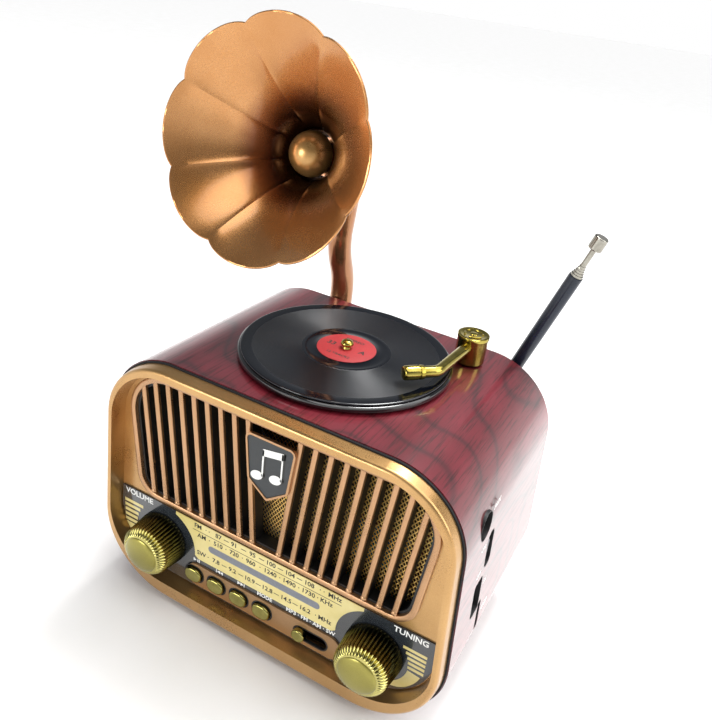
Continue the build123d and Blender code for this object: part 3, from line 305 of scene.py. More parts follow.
def surface(name, grids, material, body, slot, *nodes, round_rows=False, crease=32):
    """A closed piece from grids of points in millimetres, each rows by columns by 3. Neighbours
    are joined into quads, the last column (and row, where it is round) to the first, points that
    meet are merged, and the faces are turned outwards. It rides on a body and stands for nodes."""
    if isinstance(grids, np.ndarray):
        grids = [grids]
    points, faces, count = [], [], 0
    for grid in grids:
        grid = grid.reshape(-1, *grid.shape[-3:])
        shapes, rows, columns = grid.shape[:3]
        index = np.arange(grid[..., 0].size).reshape(shapes, rows, columns) + count
        if round_rows:
            index = np.concatenate([index, index[:, :1]], 1)
        index = np.concatenate([index, index[:, :, :1]], 2)
        faces.append(np.stack([index[:, :-1, :-1], index[:, 1:, :-1], index[:, 1:, 1:],
                               index[:, :-1, 1:]], -1).reshape(-1, 4))
        points.append(grid.reshape(-1, 3))
        count += points[-1].shape[0]
    mesh = bpy.data.meshes.new(name)
    mesh.from_pydata(np.vstack(points) * MM, [], np.vstack(faces))
    shape = bmesh.new()
    shape.from_mesh(mesh)
    bmesh.ops.remove_doubles(shape, verts=shape.verts, dist=1e-6)
    bmesh.ops.recalc_face_normals(shape, faces=shape.faces)
    shape.to_mesh(mesh)
    shape.free()
    mesh.shade_smooth()
    mesh.set_sharp_from_angle(angle=radians(crease))
    return placed(name, mesh, material, body, slot, *nodes)


def placed(name, mesh, material, body, slot, *nodes):
    """Puts a finished mesh in the scene on its body, with its finish and the nodes it stands for."""
    mesh.materials.clear()
    mesh.materials.append(material)
    piece = bpy.data.objects.new(name, mesh)
    bpy.context.scene.collection.objects.link(piece)
    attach(piece, body)
    if nodes:
        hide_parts(*nodes)
    return piece


GRILLE_LOW, GRILLE_HIGH = 48.05, 99.1
GRILLE_HALF_LOW, GRILLE_HALF_HIGH = 57.1, 61.9
CORNER_LOW, CORNER_HIGH = 8.0, 15.7
BAR_REAR, BAR_CREST, BEAD_CREST = -43.8, -45.24, -45.54
BEAD_HALF = 1.15


def grille_outline(grow, steps=12):
    """X and Z of the grille opening's outline, a rounded trapezoid pushed outwards by grow."""
    lean = (GRILLE_HALF_HIGH - GRILLE_HALF_LOW) / (GRILLE_HIGH - GRILLE_LOW)
    slant = np.hypot(1, lean)
    wide = GRILLE_HALF_HIGH + grow * (slant + lean)
    narrow = GRILLE_HALF_LOW + grow * (slant - lean)
    high, low = GRILLE_HIGH + grow, GRILLE_LOW - grow
    radii = np.array([CORNER_HIGH, CORNER_LOW, CORNER_LOW, CORNER_HIGH]) + grow
    return rounded([(wide, high), (narrow, low), (-narrow, low), (-wide, high)], radii, steps)


def inside(starts, ways, outline):
    """How far along each line, from start in the direction of way, it enters and leaves a convex
    outline: for each side of the outline, the line crosses it where its distance to it is nil."""
    side = np.roll(outline, -1, 0) - outline
    outwards = np.stack([side[:, 1], -side[:, 0]], 1)
    keep = np.hypot(*outwards.T) > 1e-6
    outwards, corner = outwards[keep], outline[keep]
    outwards = outwards * np.sign(((corner - outline.mean(0)) * outwards).sum(1, keepdims=True))
    gap = ((corner[None] - starts[:, None]) * outwards).sum(2)
    speed = ways @ outwards.T
    reach = gap / np.where(np.abs(speed) < 1e-9, 1e-9, speed)
    return (np.where(speed < 0, reach, -np.inf).max(1), np.where(speed > 0, reach, np.inf).min(1))


# the beaded frame: a half-round strip round the opening, its edges just below the bars' crests
BEAD_EDGE = BAR_CREST + 0.2
bead_turn = np.linspace(0, pi, 9)
bead_grow = np.concatenate([BEAD_HALF - BEAD_HALF * np.cos(bead_turn), [2 * BEAD_HALF, 0.0]])
bead_y = np.concatenate([BEAD_EDGE - (BEAD_EDGE - BEAD_CREST) * np.sin(bead_turn) ** 0.8,
                         [BAR_REAR, BAR_REAR]])
bead = np.stack([np.column_stack([x, np.full_like(x, y), z])
                 for y, (x, z) in ((y, grille_outline(g).T) for g, y in zip(bead_grow, bead_y))])

# the bars: a rounded arch, carried from where its line enters the bead to where it leaves
BARS_A_SIDE, BAR_PITCH, FIRST_FOOT, FIRST_HEAD = 9, 5.8, 5.7, 10.45
BAR_COUNT, BAR_HALF, BAR_FLANK = 2 * BARS_A_SIDE, 1.05, 0.5
bar_number = np.tile(np.arange(BARS_A_SIDE), 2)
sides = np.repeat([-1, 1], BARS_A_SIDE)
feet_x = sides * (FIRST_FOOT + BAR_PITCH * bar_number)
heads_x = sides * (FIRST_HEAD + BAR_PITCH * bar_number)
feet_xz = np.column_stack([feet_x, np.full(BAR_COUNT, GRILLE_LOW)])
bar_way = np.column_stack([heads_x - feet_x, np.full(BAR_COUNT, GRILLE_HIGH - GRILLE_LOW)])
bar_way /= np.linalg.norm(bar_way, axis=1, keepdims=True)
enter, leave = inside(feet_xz, bar_way, grille_outline(0.7))
arch = np.linspace(0, pi, 11)
section_x = np.concatenate([BAR_HALF * np.sign(np.cos(arch)) * np.abs(np.cos(arch)) ** 0.6,
                            [-BAR_HALF, BAR_HALF]])
section_y = np.concatenate([
    BAR_REAR - BAR_FLANK + (BAR_CREST - BAR_REAR + BAR_FLANK) * np.sin(arch) ** 0.6,
    [BAR_REAR, BAR_REAR]])
ends = np.stack([enter, enter, leave, leave], 1)
closing = np.array([0.0, 1.0, 1.0, 0.0])[None, :, None]
middle = feet_xz[:, None] + ends[..., None] * bar_way[:, None]
bars = np.zeros((BAR_COUNT, 4, len(section_x), 3))
bars[..., 0] = middle[..., 0:1] + closing * section_x
bars[..., 1] = BAR_REAR + closing * (section_y - BAR_REAR)
bars[..., 2] = middle[..., 1:2]

# the nubs: flattened balls sunk into the foot of each bar
NUB_RADIUS, NUB_FLAT, NUB_SUNK, NUB_UP = 1.25, 0.75, 0.55, 1.5
down, about = np.meshgrid(np.linspace(0, pi, 9), np.linspace(0, 2 * pi, 16, endpoint=False),
                          indexing="ij")
nub = NUB_RADIUS * np.stack([np.sin(down) * np.cos(about), NUB_FLAT * np.cos(down),
                             np.sin(down) * np.sin(about)], -1)
nub_foot = feet_xz + (enter + NUB_UP)[:, None] * bar_way
nub_middle = np.column_stack([nub_foot[:, 0], np.full(BAR_COUNT, BAR_CREST + NUB_SUNK), nub_foot[:, 1]])
nubs = nub_middle[:, None, None] + nub

# the same lacquer in a browner batch, so the bars stand out from the bezel
grille_lacquer = metal_lacquer("grille_lacquer", "#a98059", "#bd926a", 0.29, 0.0002, gloss=0.4)
surface("grille_bead", bead, grille_lacquer, "cabinet", "copper_paint", round_rows=True)
surface("grille_bars_moulding", [bars, nubs], grille_lacquer, "cabinet", "copper_paint", "grille_bars")

# ================= ribs behind the bars =================
# One black ABS moulding whose deep ribs stand behind the bars. They hold the mesh back, and
# their plain moulded black makes the slots look dark.
black_abs = moulded("black_abs", "#0a0a0b", "#131315", 0.0005, rough=(0.45, 0.6))
coat(black_abs, "grille_ribs")

# ================= speaker mesh =================
# Gold-lacquered expanded metal: two sets of thin slanting strands that cross in diamonds
# about 1.5 mm wide and 2.2 mm high. It is clipped in behind the ribs.
STRAND_PITCH, STRAND_RISE = 1.5, 2.2
STRAND_HALF, STRAND_FLAT, STRAND_LIFT = 0.155, 1.4, 0.11
STRAND_POINTS, STRANDS_EACH_WAY = 48, 100
MESH_MIDDLE, MESH_WAIST = -38.3, 73.5
net_outline = grille_outline(0.3)
starts_x = np.arange(-STRANDS_EACH_WAY, STRANDS_EACH_WAY + 1) * STRAND_PITCH
corner = np.array([pi / 4, 3 * pi / 4, 5 * pi / 4, 7 * pi / 4])
fade = np.ones((1, STRAND_POINTS, 1))
fade[:, [0, -1]] = 0
strands = []
# a square wire along a slanting line, waving over and under the strands it crosses, shrunk to
# a point at both ends
for heading in (-1, 1):
    way = np.array([heading * STRAND_PITCH, STRAND_RISE])
    way = way / np.hypot(*way)
    start = np.column_stack([starts_x, np.full(len(starts_x), MESH_WAIST)])
    first_in, last_in = inside(start, np.broadcast_to(way, start.shape), net_outline)
    kept = last_in > first_in + 1.0
    start, first_in, last_in = start[kept], first_in[kept], last_in[kept]
    along = first_in[:, None] + (last_in - first_in)[:, None] * np.linspace(0, 1, STRAND_POINTS)
    crossing = along * way[1] / STRAND_RISE * 2 * pi
    spine = start[:, None] + along[..., None] * way
    lift = MESH_MIDDLE + STRAND_LIFT * heading * np.cos(crossing)
    grid = np.zeros((len(start), STRAND_POINTS, 4, 3))
    grid[..., 0] = spine[..., 0:1] + fade * STRAND_HALF * STRAND_FLAT * np.cos(corner) * way[1]
    grid[..., 1] = lift[..., None] + fade * STRAND_HALF * np.sin(corner)
    grid[..., 2] = spine[..., 1:2] - fade * STRAND_HALF * STRAND_FLAT * np.cos(corner) * way[0]
    strands.append(grid)
# gold lacquer over steel: small bright glints along the strands
gold_mesh = moulded("gold_lacquered_steel", "#c39a52", "#e2bf79", 0.0004, rough=(0.28, 0.42),
                    Metallic=1.0)
surface("speaker_net", strands, gold_mesh, "cabinet", "gold_mesh", "speaker_mesh", crease=80)

# ================= badge =================
# A shield on the middle of the grille: a copper ABS frame glued over the inner bars, with a
# grey printed plate in it. The motif is a plain pair of joined notes, white with a black shadow.
coat(grille_lacquer, "badge_frame")
# screen-printed slate grey: almost even, with a soft satin shine
slate_print = moulded("slate_print", "#2a2d2f", "#333638", 0.0007, rough=(0.42, 0.52), depth=0.00002)
coat(slate_print, "badge_plate")


def sheet_of(name, outlines, y, thick, material, slot, *nodes, body="cabinet"):
    """A thin printed layer: closed outlines in X and Z, filled and given a small thickness."""
    shape = bmesh.new()
    for outline in outlines:
        ring = [shape.verts.new((x * MM, y * MM, z * MM)) for x, z in outline]
        shape.faces.new(ring)
    made = bmesh.ops.extrude_face_region(shape, geom=shape.faces[:])
    moved = [v for v in made["geom"] if isinstance(v, bmesh.types.BMVert)]
    bmesh.ops.translate(shape, verts=moved, vec=(0, -thick * MM, 0))
    bmesh.ops.recalc_face_normals(shape, faces=shape.faces)
    bmesh.ops.triangulate(shape, faces=shape.faces)
    mesh = bpy.data.meshes.new(name)
    shape.to_mesh(mesh)
    shape.free()
    return placed(name, mesh, material, body, slot, *nodes)


def oval(x, z, wide, high, tilt=0.0, steps=28):
    """Points of an ellipse about (x, z), turned by tilt degrees."""
    angle = np.linspace(0, 2 * pi, steps, endpoint=False)
    a, b = wide / 2 * np.cos(angle), high / 2 * np.sin(angle)
    t = radians(tilt)
    return np.column_stack([x + a * cos(t) - b * sin(t), z + a * sin(t) + b * cos(t)])


# screen inks: thin flat layers, a little duller than the gloss they lie on
white_ink = moulded("white_screen_ink", "#e6e6e2", "#f4f4f0", 0.0004, rough=(0.5, 0.6), depth=0.00001)
black_ink = moulded("black_screen_ink", "#1c1b18", "#292824", 0.0004, rough=(0.45, 0.55), depth=0.00001)
BADGE_FACE, SHADOW_SHIFT = -46.24, (0.9, 0.45)
# two heads, two stems and the beam that joins them
note = [
    oval(-2.9, 81.2, 4.2, 3.0, 22), oval(3.3, 82.2, 4.2, 3.0, 22),
    [(-1.35, 81.6), (-0.85, 81.2), (-0.85, 90.4), (-1.35, 90.4)],
    [(4.85, 82.6), (5.35, 82.2), (5.35, 91.6), (4.85, 91.6)],
    [(-1.35, 88.4), (5.35, 89.6), (5.35, 91.9), (-1.35, 90.7)],
]
NOTE_SCALE, NOTE_MIDDLE = 1.22, np.array((1.0, 86.2))
note = [NOTE_MIDDLE - (1.0, 0.0) + (np.array(outline) - NOTE_MIDDLE) * NOTE_SCALE for outline in note]
sheet_of("badge_note_shadow", [outline + SHADOW_SHIFT for outline in note], BADGE_FACE, 0.02,
         black_ink, "grey_print")
sheet_of("badge_note", note, BADGE_FACE, 0.04, white_ink, "cream_print")

# ================= dial plate, scale and print =================
# A screen-printed ABS fascia under clear gloss: dark grey ground, a cream tuning scale with
# black figures, cream stripes beside the knobs and white legends.


def clouded(name, shade, deep_shade, pale_shade, patch, rough, detail=4.0, **sockets):
    """A smooth coat whose shade, from deep to pale, and roughness, between rough's two values,
    drift together in soft clouds patch metres across."""
    material, shader = finish(name, shade, **sockets)
    spot = add(material, "ShaderNodeTexCoord", out="Object")
    cloud = add(material, "ShaderNodeTexNoise", {"Vector": spot, "Scale": 1 / patch, "Detail": detail})
    wire(material, shader,
         Base_Color=add(material, "ShaderNodeValToRGB", {"Fac": cloud},
                        stops=[(0.3, deep_shade), (0.7, pale_shade)]),
         Roughness=add(material, "ShaderNodeMapRange", {
             "Value": cloud, "To Min": rough[0], "To Max": rough[1]}))
    return material


# clear gloss over dark grey: near-black with sharp reflections
fascia = clouded("gloss_grey_fascia", "#2b2f33", "#282c30", "#30353a", 0.004, (0.14, 0.26), detail=5.0,
                 Coat_Weight=1.0, Coat_Roughness=0.03)
coat(fascia, "dial_plate")

# cream ink under a thinner clear coat: warm, pale and softly shiny
cream_ink = clouded("cream_scale_ink", "#dccb84", "#d6c478", "#e2d391", 0.007, (0.3, 0.45),
                    Coat_Weight=0.6, Coat_Roughness=0.08)
KNOB_X, KNOB_Z = 47.6, 28.3
FASCIA_FACE, SCALE_FACE = -44.4, -44.65
SCALE_TOP, SCALE_FOOT, SCALE_BITE = 44.3, 26.2, 15.8
# half of the scale: a straight top, a bite round the knob and a rounded lower corner
bite = np.radians(np.linspace(67, -3, 24))
right_bite = np.column_stack([KNOB_X - SCALE_BITE * np.cos(bite), KNOB_Z + SCALE_BITE * np.sin(bite)])
scale_foot = rounded([right_bite[-1], (30.2, SCALE_FOOT), (0.0, SCALE_FOOT)], 1.8, 8, closed=False)[1:-1]
right_edge = np.vstack([[(right_bite[0, 0], SCALE_TOP)], right_bite, scale_foot])
scale_outline = np.vstack([right_edge, right_edge[::-1] * (-1, 1)])
sheet_of("dial_scale_print", [scale_outline], FASCIA_FACE, FASCIA_FACE - SCALE_FACE, cream_ink,
         "cream_print", "dial_scale")

FRONT = Matrix.Rotation(pi / 2, 4, "X")
INK = 0.02
BOLDER = 0.022


def lettering(name, rows, lift, material, slot, turn=FRONT, body="cabinet"):
    """Printed words as one thin mesh. Each row is (words, x, z, size), in millimetres, and the
    words are centred there. They are lifted off the drawing plane, and turn then carries them
    to their wall."""
    joined = bmesh.new()
    for words, x, z, size in rows:
        curve = bpy.data.curves.new("words", "FONT")
        curve.body, curve.size, curve.extrude = words, size * MM, INK / 2 * MM
        curve.align_x, curve.align_y, curve.resolution_u = "CENTER", "CENTER", 3
        curve.offset = BOLDER * size * MM
        holder = bpy.data.objects.new("words", curve)
        flat = bpy.data.meshes.new_from_object(holder)
        flat.transform(Matrix.Translation((x * MM, z * MM, lift * MM)))
        joined.from_mesh(flat)
        bpy.data.meshes.remove(flat)
        bpy.data.objects.remove(holder)
        bpy.data.curves.remove(curve)
    bmesh.ops.remove_doubles(joined, verts=joined.verts, dist=1e-7)
    bmesh.ops.transform(joined, matrix=turn, verts=joined.verts)
    mesh = bpy.data.meshes.new(name)
    joined.to_mesh(mesh)
    joined.free()
    return placed(name, mesh, material, body, slot)


# the middle of each word's own thickness, as a lift towards the front
SCALE_INK, FASCIA_INK = INK / 2 - SCALE_FACE, INK / 2 - FASCIA_FACE
FIGURE = 2.85
fm_row = [("FM", -30.6), ("· ·", -26.0), ("87", -20.9), ("91", -13.6), ("95", -5.2), ("100", 2.9),
          ("104", 11.2), ("108", 19.4), ("· ·", 24.8), ("MHz", 30.0)]
am_row = [("AM", -28.7), ("510", -20.9), ("720", -13.4), ("960", -5.8), ("1240", 2.9), ("1490", 11.2),
          ("1730", 19.4), ("KHz", 27.0)]
sw_row = [("SW", -28.7), ("7.8", -21.6), ("9.2", -13.8), ("10.9", -5.8), ("12.8", 2.2), ("14.5", 10.6),
          ("16.2", 18.8), ("MHz", 27.2)]
FM_Z, AM_Z, SW_Z = 42.4, 38.2, 29.6
figures = [(words, x, z, FIGURE) for row, z in ((fm_row, FM_Z), (am_row, AM_Z), (sw_row, SW_Z))
           for words, x in row]
figures += [("·", x, AM_Z, FIGURE) for x in (-25.0, -17.2, -9.6, -1.6, 7.2, 15.4, 23.4)]
figures += [("·", x, SW_Z, FIGURE) for x in (-25.4, 23.4)]
lettering("dial_figures", figures, SCALE_INK, black_ink, "grey_print")
DASH = 1.15


def dash(x, z, half, thick=0.16):
    """The corners of a printed line about (x, z)."""
    return [(x - half, z - thick), (x + half, z - thick), (x + half, z + thick), (x - half, z + thick)]


rules = [dash(0.0, 40.2, 33.0, 0.12), *[dash(x, FM_Z, DASH) for x in (-17.2, -9.3, -1.2, 7.1, 15.3)],
         *[dash(x, SW_Z, DASH) for x in (-17.7, -9.9, -1.8, 6.3, 14.6)]]
sheet_of("dial_rule", rules, SCALE_FACE, INK, black_ink, "grey_print")
POINTER_LEFT, POINTER_RIGHT, POINTER_LOW, POINTER_HIGH = -25.4, 24.6, 32.7, 35.9
grey_ink = moulded("grey_screen_ink", "#71747c", "#7f828a", 0.0006, rough=(0.4, 0.5), depth=0.00001)
pointer_bar = rounded([(POINTER_RIGHT, POINTER_HIGH), (POINTER_RIGHT, POINTER_LOW),
                       (POINTER_LEFT, POINTER_LOW), (POINTER_LEFT, POINTER_HIGH)], 1.55)
sheet_of("dial_pointer_bar", [pointer_bar], SCALE_FACE, INK, grey_ink, "grey_print")

SIGN_Z = 24.9
legends = [("VOLUME", -60.2, FM_Z, 3.6), ("TUNING", 59.5, FM_Z, 3.4), ("MODE", 1.2, SIGN_Z, 2.4),
           ("MP3 · FM · AM · SW", 21.4, SIGN_Z, 2.5)]
lettering("fascia_legends", legends, FASCIA_INK, white_ink, "cream_print")
SIGN_HALF, SIGN_REACH, STROKE_HALF = 0.8, 0.7, 0.18


def triangle(x, way):
    """A small arrowhead about x that points to the right for 1 and to the left for -1."""
    back = x - SIGN_REACH * way
    return [(back, SIGN_Z - SIGN_HALF), (x + SIGN_REACH * way, SIGN_Z), (back, SIGN_Z + SIGN_HALF)]


def stroke(x):
    """A small upright bar at x."""
    return dash(x, SIGN_Z, STROKE_HALF, SIGN_HALF)


signs = [triangle(-31.9, 1), stroke(-30.5), stroke(-29.8),
         triangle(-20.4, -1), triangle(-19.0, -1), stroke(-21.4),
         triangle(-10.6, 1), triangle(-9.2, 1), stroke(-8.2)]
sheet_of("fascia_signs", signs, FASCIA_FACE, INK, white_ink, "cream_print")


def stripes_to(edge, knob_x, clear, highest, pitch, half):
    """Five stripes from an upright edge to a circle of radius clear round a knob: at each height
    the stripe ends where the circle is, a square root away from the knob's middle."""
    z = highest - pitch * np.arange(5)
    x = knob_x + np.sign(edge) * np.sqrt(clear ** 2 - (z - KNOB_Z) ** 2)
    return [dash((edge + end) / 2, level, abs(edge - end) / 2, half) for end, level in zip(x, z)]


stripes = stripes_to(-68.0, -KNOB_X, 14.1, 37.3, 2.42, 0.72)
stripes += stripes_to(66.4, KNOB_X, 12.8, 36.5, 2.06, 0.62)
stripes.append([(-67.6, 26.2), (-65.8, 23.0), (-62.0, 26.2)])
# a crescent round the tuning knob, between a circle and a slowly closing spiral
CRESCENT_CLEAR = 13.1
crescent = np.linspace(0, 1, 20)
swing = np.radians(-6.5 - 60 * crescent)
spiral = 18.0 - 3.0 * crescent - 1.8 * crescent ** 6
stripes.append(np.vstack([
    np.column_stack([KNOB_X + spiral * np.cos(swing), KNOB_Z + spiral * np.sin(swing)]),
    np.column_stack([KNOB_X + CRESCENT_CLEAR * np.cos(swing),
                     KNOB_Z + CRESCENT_CLEAR * np.sin(swing)])[::-1]]))
sheet_of("fascia_stripes", stripes, FASCIA_FACE, INK, cream_ink, "cream_print")

# ================= key panel and keys =================
# A copper-sprayed ABS strip with five openings lined in black. Four small press keys and a
# round slider, in olive-gold plated ABS, stand in them.
# a duller copper than the bezel's, with less metal in it
panel_lacquer = metal_lacquer("panel_lacquer", "#94704a", "#a8845c", 0.38, 0.0002, metal=0.55)
coat(panel_lacquer, "key_panel")
KEY_SIZE, BAND_SIZE, WELL_WALL = (9.5, 8.1, 3.8), (15.2, 6.6, 3.29), 0.6
WELL_FRONT, WELL_REAR = -45.14, -44.0
key_middles = [(-31.5 + 10.8 * key, 18.2) for key in range(4)]
band_middle = (22.6, 17.7)


def liner(middle, size, wall):
    """The outlines of a rounded opening, sized (wide, high, corner radius), and of one a wall
    smaller inside it: the corners move in by the wall, and the radius shrinks by it."""
    u, v = middle
    wide, high, radius = size
    return [rounded(np.array([(-1, -1), (1, -1), (1, 1), (-1, 1)])
                    * (wide / 2 - inset, high / 2 - inset) + (u, v), radius - inset)
            for inset in (0.0, wall)]


wells = []
for big, small in (*(liner(middle, KEY_SIZE, WELL_WALL) for middle in key_middles),
                   liner(band_middle, BAND_SIZE, WELL_WALL)):
    wells.append(np.stack([
        np.column_stack([ring[:, 0], np.full(len(ring), y), ring[:, 1]])
        for ring, y in ((big, WELL_FRONT), (small, WELL_FRONT), (small, WELL_REAR), (big, WELL_REAR))]))
surface("key_wells", wells, black_abs, "cabinet", "black_plastic", round_rows=True)
# bright plating with a green cast: it mirrors the room in dark and pale bands
olive_gold = clouded("olive_gold_plating", "#96904f", "#8b8549", "#a49c5c", 0.0035, (0.12, 0.24),
                     Metallic=1.0)
coat(olive_gold, "play_key", "previous_key", "next_key", "mode_key", "band_slider")

# ================= knobs =================
# Two push-on ABS knobs, vacuum plated: a tapered body with fine round flutes in smoked olive
# chrome, and a smooth domed cap in satin olive gold. They push onto steel shafts.
FLUTES, FLUTE_DEPTH, STEPS_A_FLUTE = 46, 0.8, 8
CAP_EDGE, CAP_REAR, CAP_RISE = 7.6, -57.3, 1.6
around = np.linspace(0, 2 * pi, FLUTES * STEPS_A_FLUTE, endpoint=False)
# the body's side leans in, then rounds over in a quarter ellipse to the edge of the cap
turn_in = np.linspace(0, pi / 2, 12)[1:]
# each row is the radius, the place along the shaft and the share of the flutes' full depth
side_profile = [(11.3, -45.3, 0.5), (11.25, -45.9, 1), (11.05, -48.0, 1), (10.8, -50.5, 1),
                (10.55, -53.0, 1)]
shoulder = [(7.5 + 3.05 * cos(t), -53.0 - 4.5 * sin(t), 1 - 0.45 * sin(t) ** 4) for t in turn_in]
body_profile = np.array([(0.0, -44.7, 0), (10.9, -44.7, 0), (11.2, -44.9, 0.1), *side_profile, *shoulder,
                         (0.0, -57.5, 0)])
cap_turn = np.linspace(pi / 2, 0, 12)
cap_dome = [(CAP_EDGE * sin(t) ** 0.9, CAP_REAR - CAP_RISE * cos(t)) for t in cap_turn]
cap_profile = np.array([(0.0, -57.0), (7.5, -57.0), *cap_dome])


def knob_grid(x, profile, flutes):
    """A profile of (radius, y) turned about the shaft. The radius dips between round-topped
    flutes by depth times (1 - |cos(half the flute angle)|)."""
    radius, y = profile[:, 0:1], profile[:, 1:2]
    dip = flutes * FLUTE_DEPTH * (1 - np.abs(np.cos(FLUTES * around / 2)))
    r = radius - dip
    return np.stack([x + r * np.cos(around), np.broadcast_to(y, r.shape),
                     KNOB_Z + r * np.sin(around)], -1)


# satin plating: a soft yellow-green sheen with a little grain
satin_gold = metal_lacquer("satin_gold_plating", "#837b33", "#9c9346", 0.3, 0.00012, gloss=0.4)
# smoked plating: hard narrow glints on every flute, and a painted reflection in its colour: dark
# towards the foot of the knob, where it mirrors the dark fascia, and bright on the shoulder
knob_chrome, shader = finish("smoked_olive_chrome", "#6b683e", Metallic=1.0, Roughness=0.12)
chrome_place = add(knob_chrome, "ShaderNodeTexCoord", out="Object")
smoke = add(knob_chrome, "ShaderNodeTexNoise", {
    "Vector": chrome_place, "Scale": 1 / 0.003, "Detail": 4.0})
# painted reflection: the colour darkens towards the knob's foot and brightens towards its front
painted_reflection_ramp = add(knob_chrome, "ShaderNodeMapRange", {
    "Value": add(knob_chrome, "ShaderNodeSeparateXYZ", {"Vector": chrome_place}, out="Y"),
    "From Min": -0.047, "From Max": -0.0555, "To Max": 0.85})
faint_smoke = add(knob_chrome, "ShaderNodeMath", {0: smoke, 1: 0.2}, operation="MULTIPLY")
wire(knob_chrome, shader,
     Base_Color=add(knob_chrome, "ShaderNodeValToRGB", {
         "Fac": add(knob_chrome, "ShaderNodeMath", {0: painted_reflection_ramp, 1: faint_smoke}, operation="ADD")},
         stops=[(0.1, "#2f2e1e"), (0.55, "#6b683e"), (0.95, "#b5ac68")]),
     Roughness=add(knob_chrome, "ShaderNodeMapRange", {"Value": smoke, "To Min": 0.08, "To Max": 0.2}))
for side, name in ((-1, "volume"), (1, "tuning")):
    surface(name + "_knob_body", knob_grid(side * KNOB_X, body_profile, body_profile[:, 2:3]),
            knob_chrome, name, "gold_plating", name + "_knob", crease=60)
    surface(name + "_knob_cap", knob_grid(side * KNOB_X, cap_profile, 0.0), satin_gold, name,
            "gold_plating")
# turned steel: plain grey-white metal
bright_steel = moulded("turned_steel", "#a9abae", "#c4c6c8", 0.0005, rough=(0.22, 0.36),
                       depth=0.00001, Metallic=1.0)
coat(bright_steel, "volume_shaft", "tuning_shaft", "turntable_spindle")

# ================= inside the cabinet =================
# Controls, switches and boards stand behind the panel, the driver behind the mesh, and a
# lithium cell lies in a cradle on the floor. Only the mesh and the vents give a view of them.
# resist-coated glass fibre board: glossy green
circuit_board = moulded("green_fibreglass", "#14512f", "#1c6a40", 0.0012, rough=(0.3, 0.45))
coat(circuit_board, "main_board", "side_board")
# cast zinc: dull grey metal
grey_metal = moulded("zinc_die_cast", "#8d9094", "#a2a5a8", 0.0007, rough=(0.35, 0.5), Metallic=0.9)
coat(grey_metal, "volume_control", "tuning_capacitor", "turntable_motor")
coat(black_abs, "key_switches", "band_switch", "battery_cradle", "speaker_basket")
# pressed paper pulp: matt and rough
black_paper = moulded("pressed_paper", "#17171a", "#242428", 0.0009, rough=(0.8, 0.95), depth=0.00012)
coat(black_paper, "speaker_cone")
# sintered ferrite: stony dark grey
ferrite = moulded("sintered_ferrite", "#2c2d30", "#3a3b3e", 0.0006, rough=(0.6, 0.75))
coat(ferrite, "speaker_magnet")
# shrunk PVC sleeve: glossy blue
cell_wrap = moulded("shrink_sleeve", "#1f5f8f", "#2b71a4", 0.002, rough=(0.25, 0.38))
coat(cell_wrap, "battery_cell")

# ================= rear cover, screws and feet =================
# A black ABS cover with vent slots, held by four blacked steel screws, the socket of the
# horn's pipe, and four rubber feet glued under the floor.
# spark-eroded mould texture: an even, slightly rough black
textured_abs = moulded("sparked_black_abs", "#121214", "#1d1d20", 0.0008, rough=(0.5, 0.7), depth=0.00012)
coat(textured_abs, "rear_cover", "horn_socket")
# oil-blacked steel: dark with a dim metal shine
black_steel = moulded("blacked_steel", "#26272a", "#37383b", 0.0006, rough=(0.3, 0.45), Metallic=0.9)
coat(black_steel, "rear_screws")
# moulded rubber: dull black
foot_rubber = moulded("foot_rubber", "#101011", "#1b1b1c", 0.0006, rough=(0.7, 0.85), depth=0.0001)
coat(foot_rubber, "feet")

# ================= turntable =================
# A motor turns a black platter that carries a pressed vinyl record. It shines like glass,
# with a grooved band, a plain outer band, a red paper label and a plated spindle cap.


def turned(profile, steps=128, centre=(0.0, 0.0)):
    """A profile of (radius, z) turned about an upright axis through centre."""
    radius, z = np.array(profile, float).T[:, :, None]
    angle = np.linspace(0, 2 * pi, steps, endpoint=False)
    return np.stack([centre[0] + radius * np.cos(angle), centre[1] + radius * np.sin(angle),
                     np.broadcast_to(z, (len(radius), steps))], -1)


# pressed vinyl: blue-black gloss, with a bow-tie sheen across the grooves, which are drawn
# 0.45 mm apart, far coarser than real ones, so that they show
GROOVE_PITCH, GROOVES_START, GROOVES_END = 0.00045, 0.0165, 0.0345
vinyl, shader = finish("pressed_vinyl", "#05070c", Anisotropic_Rotation=0.25)
vinyl_place = add(vinyl, "ShaderNodeTexCoord", out="Object")
flat_place = add(vinyl, "ShaderNodeMapping", {"Vector": vinyl_place, "Scale": (1.0, 1.0, 0.0)})
reach = add(vinyl, "ShaderNodeVectorMath", {0: flat_place}, out="Value", operation="LENGTH")
groove_turn = add(vinyl, "ShaderNodeMath", {0: reach, 1: 2 * pi / GROOVE_PITCH}, operation="MULTIPLY")
groove = add(vinyl, "ShaderNodeMath", {0: groove_turn}, operation="SINE")
grooved = add(vinyl, "ShaderNodeMath", {
    0: add(vinyl, "ShaderNodeMath", {0: reach, 1: GROOVES_START}, operation="GREATER_THAN"),
    1: add(vinyl, "ShaderNodeMath", {0: reach, 1: GROOVES_END}, operation="LESS_THAN")},
    operation="MULTIPLY")
tracks = add(vinyl, "ShaderNodeTexNoise", {
    "Vector": add(vinyl, "ShaderNodeCombineXYZ", {"X": reach}), "Scale": 900.0, "Detail": 2.0})
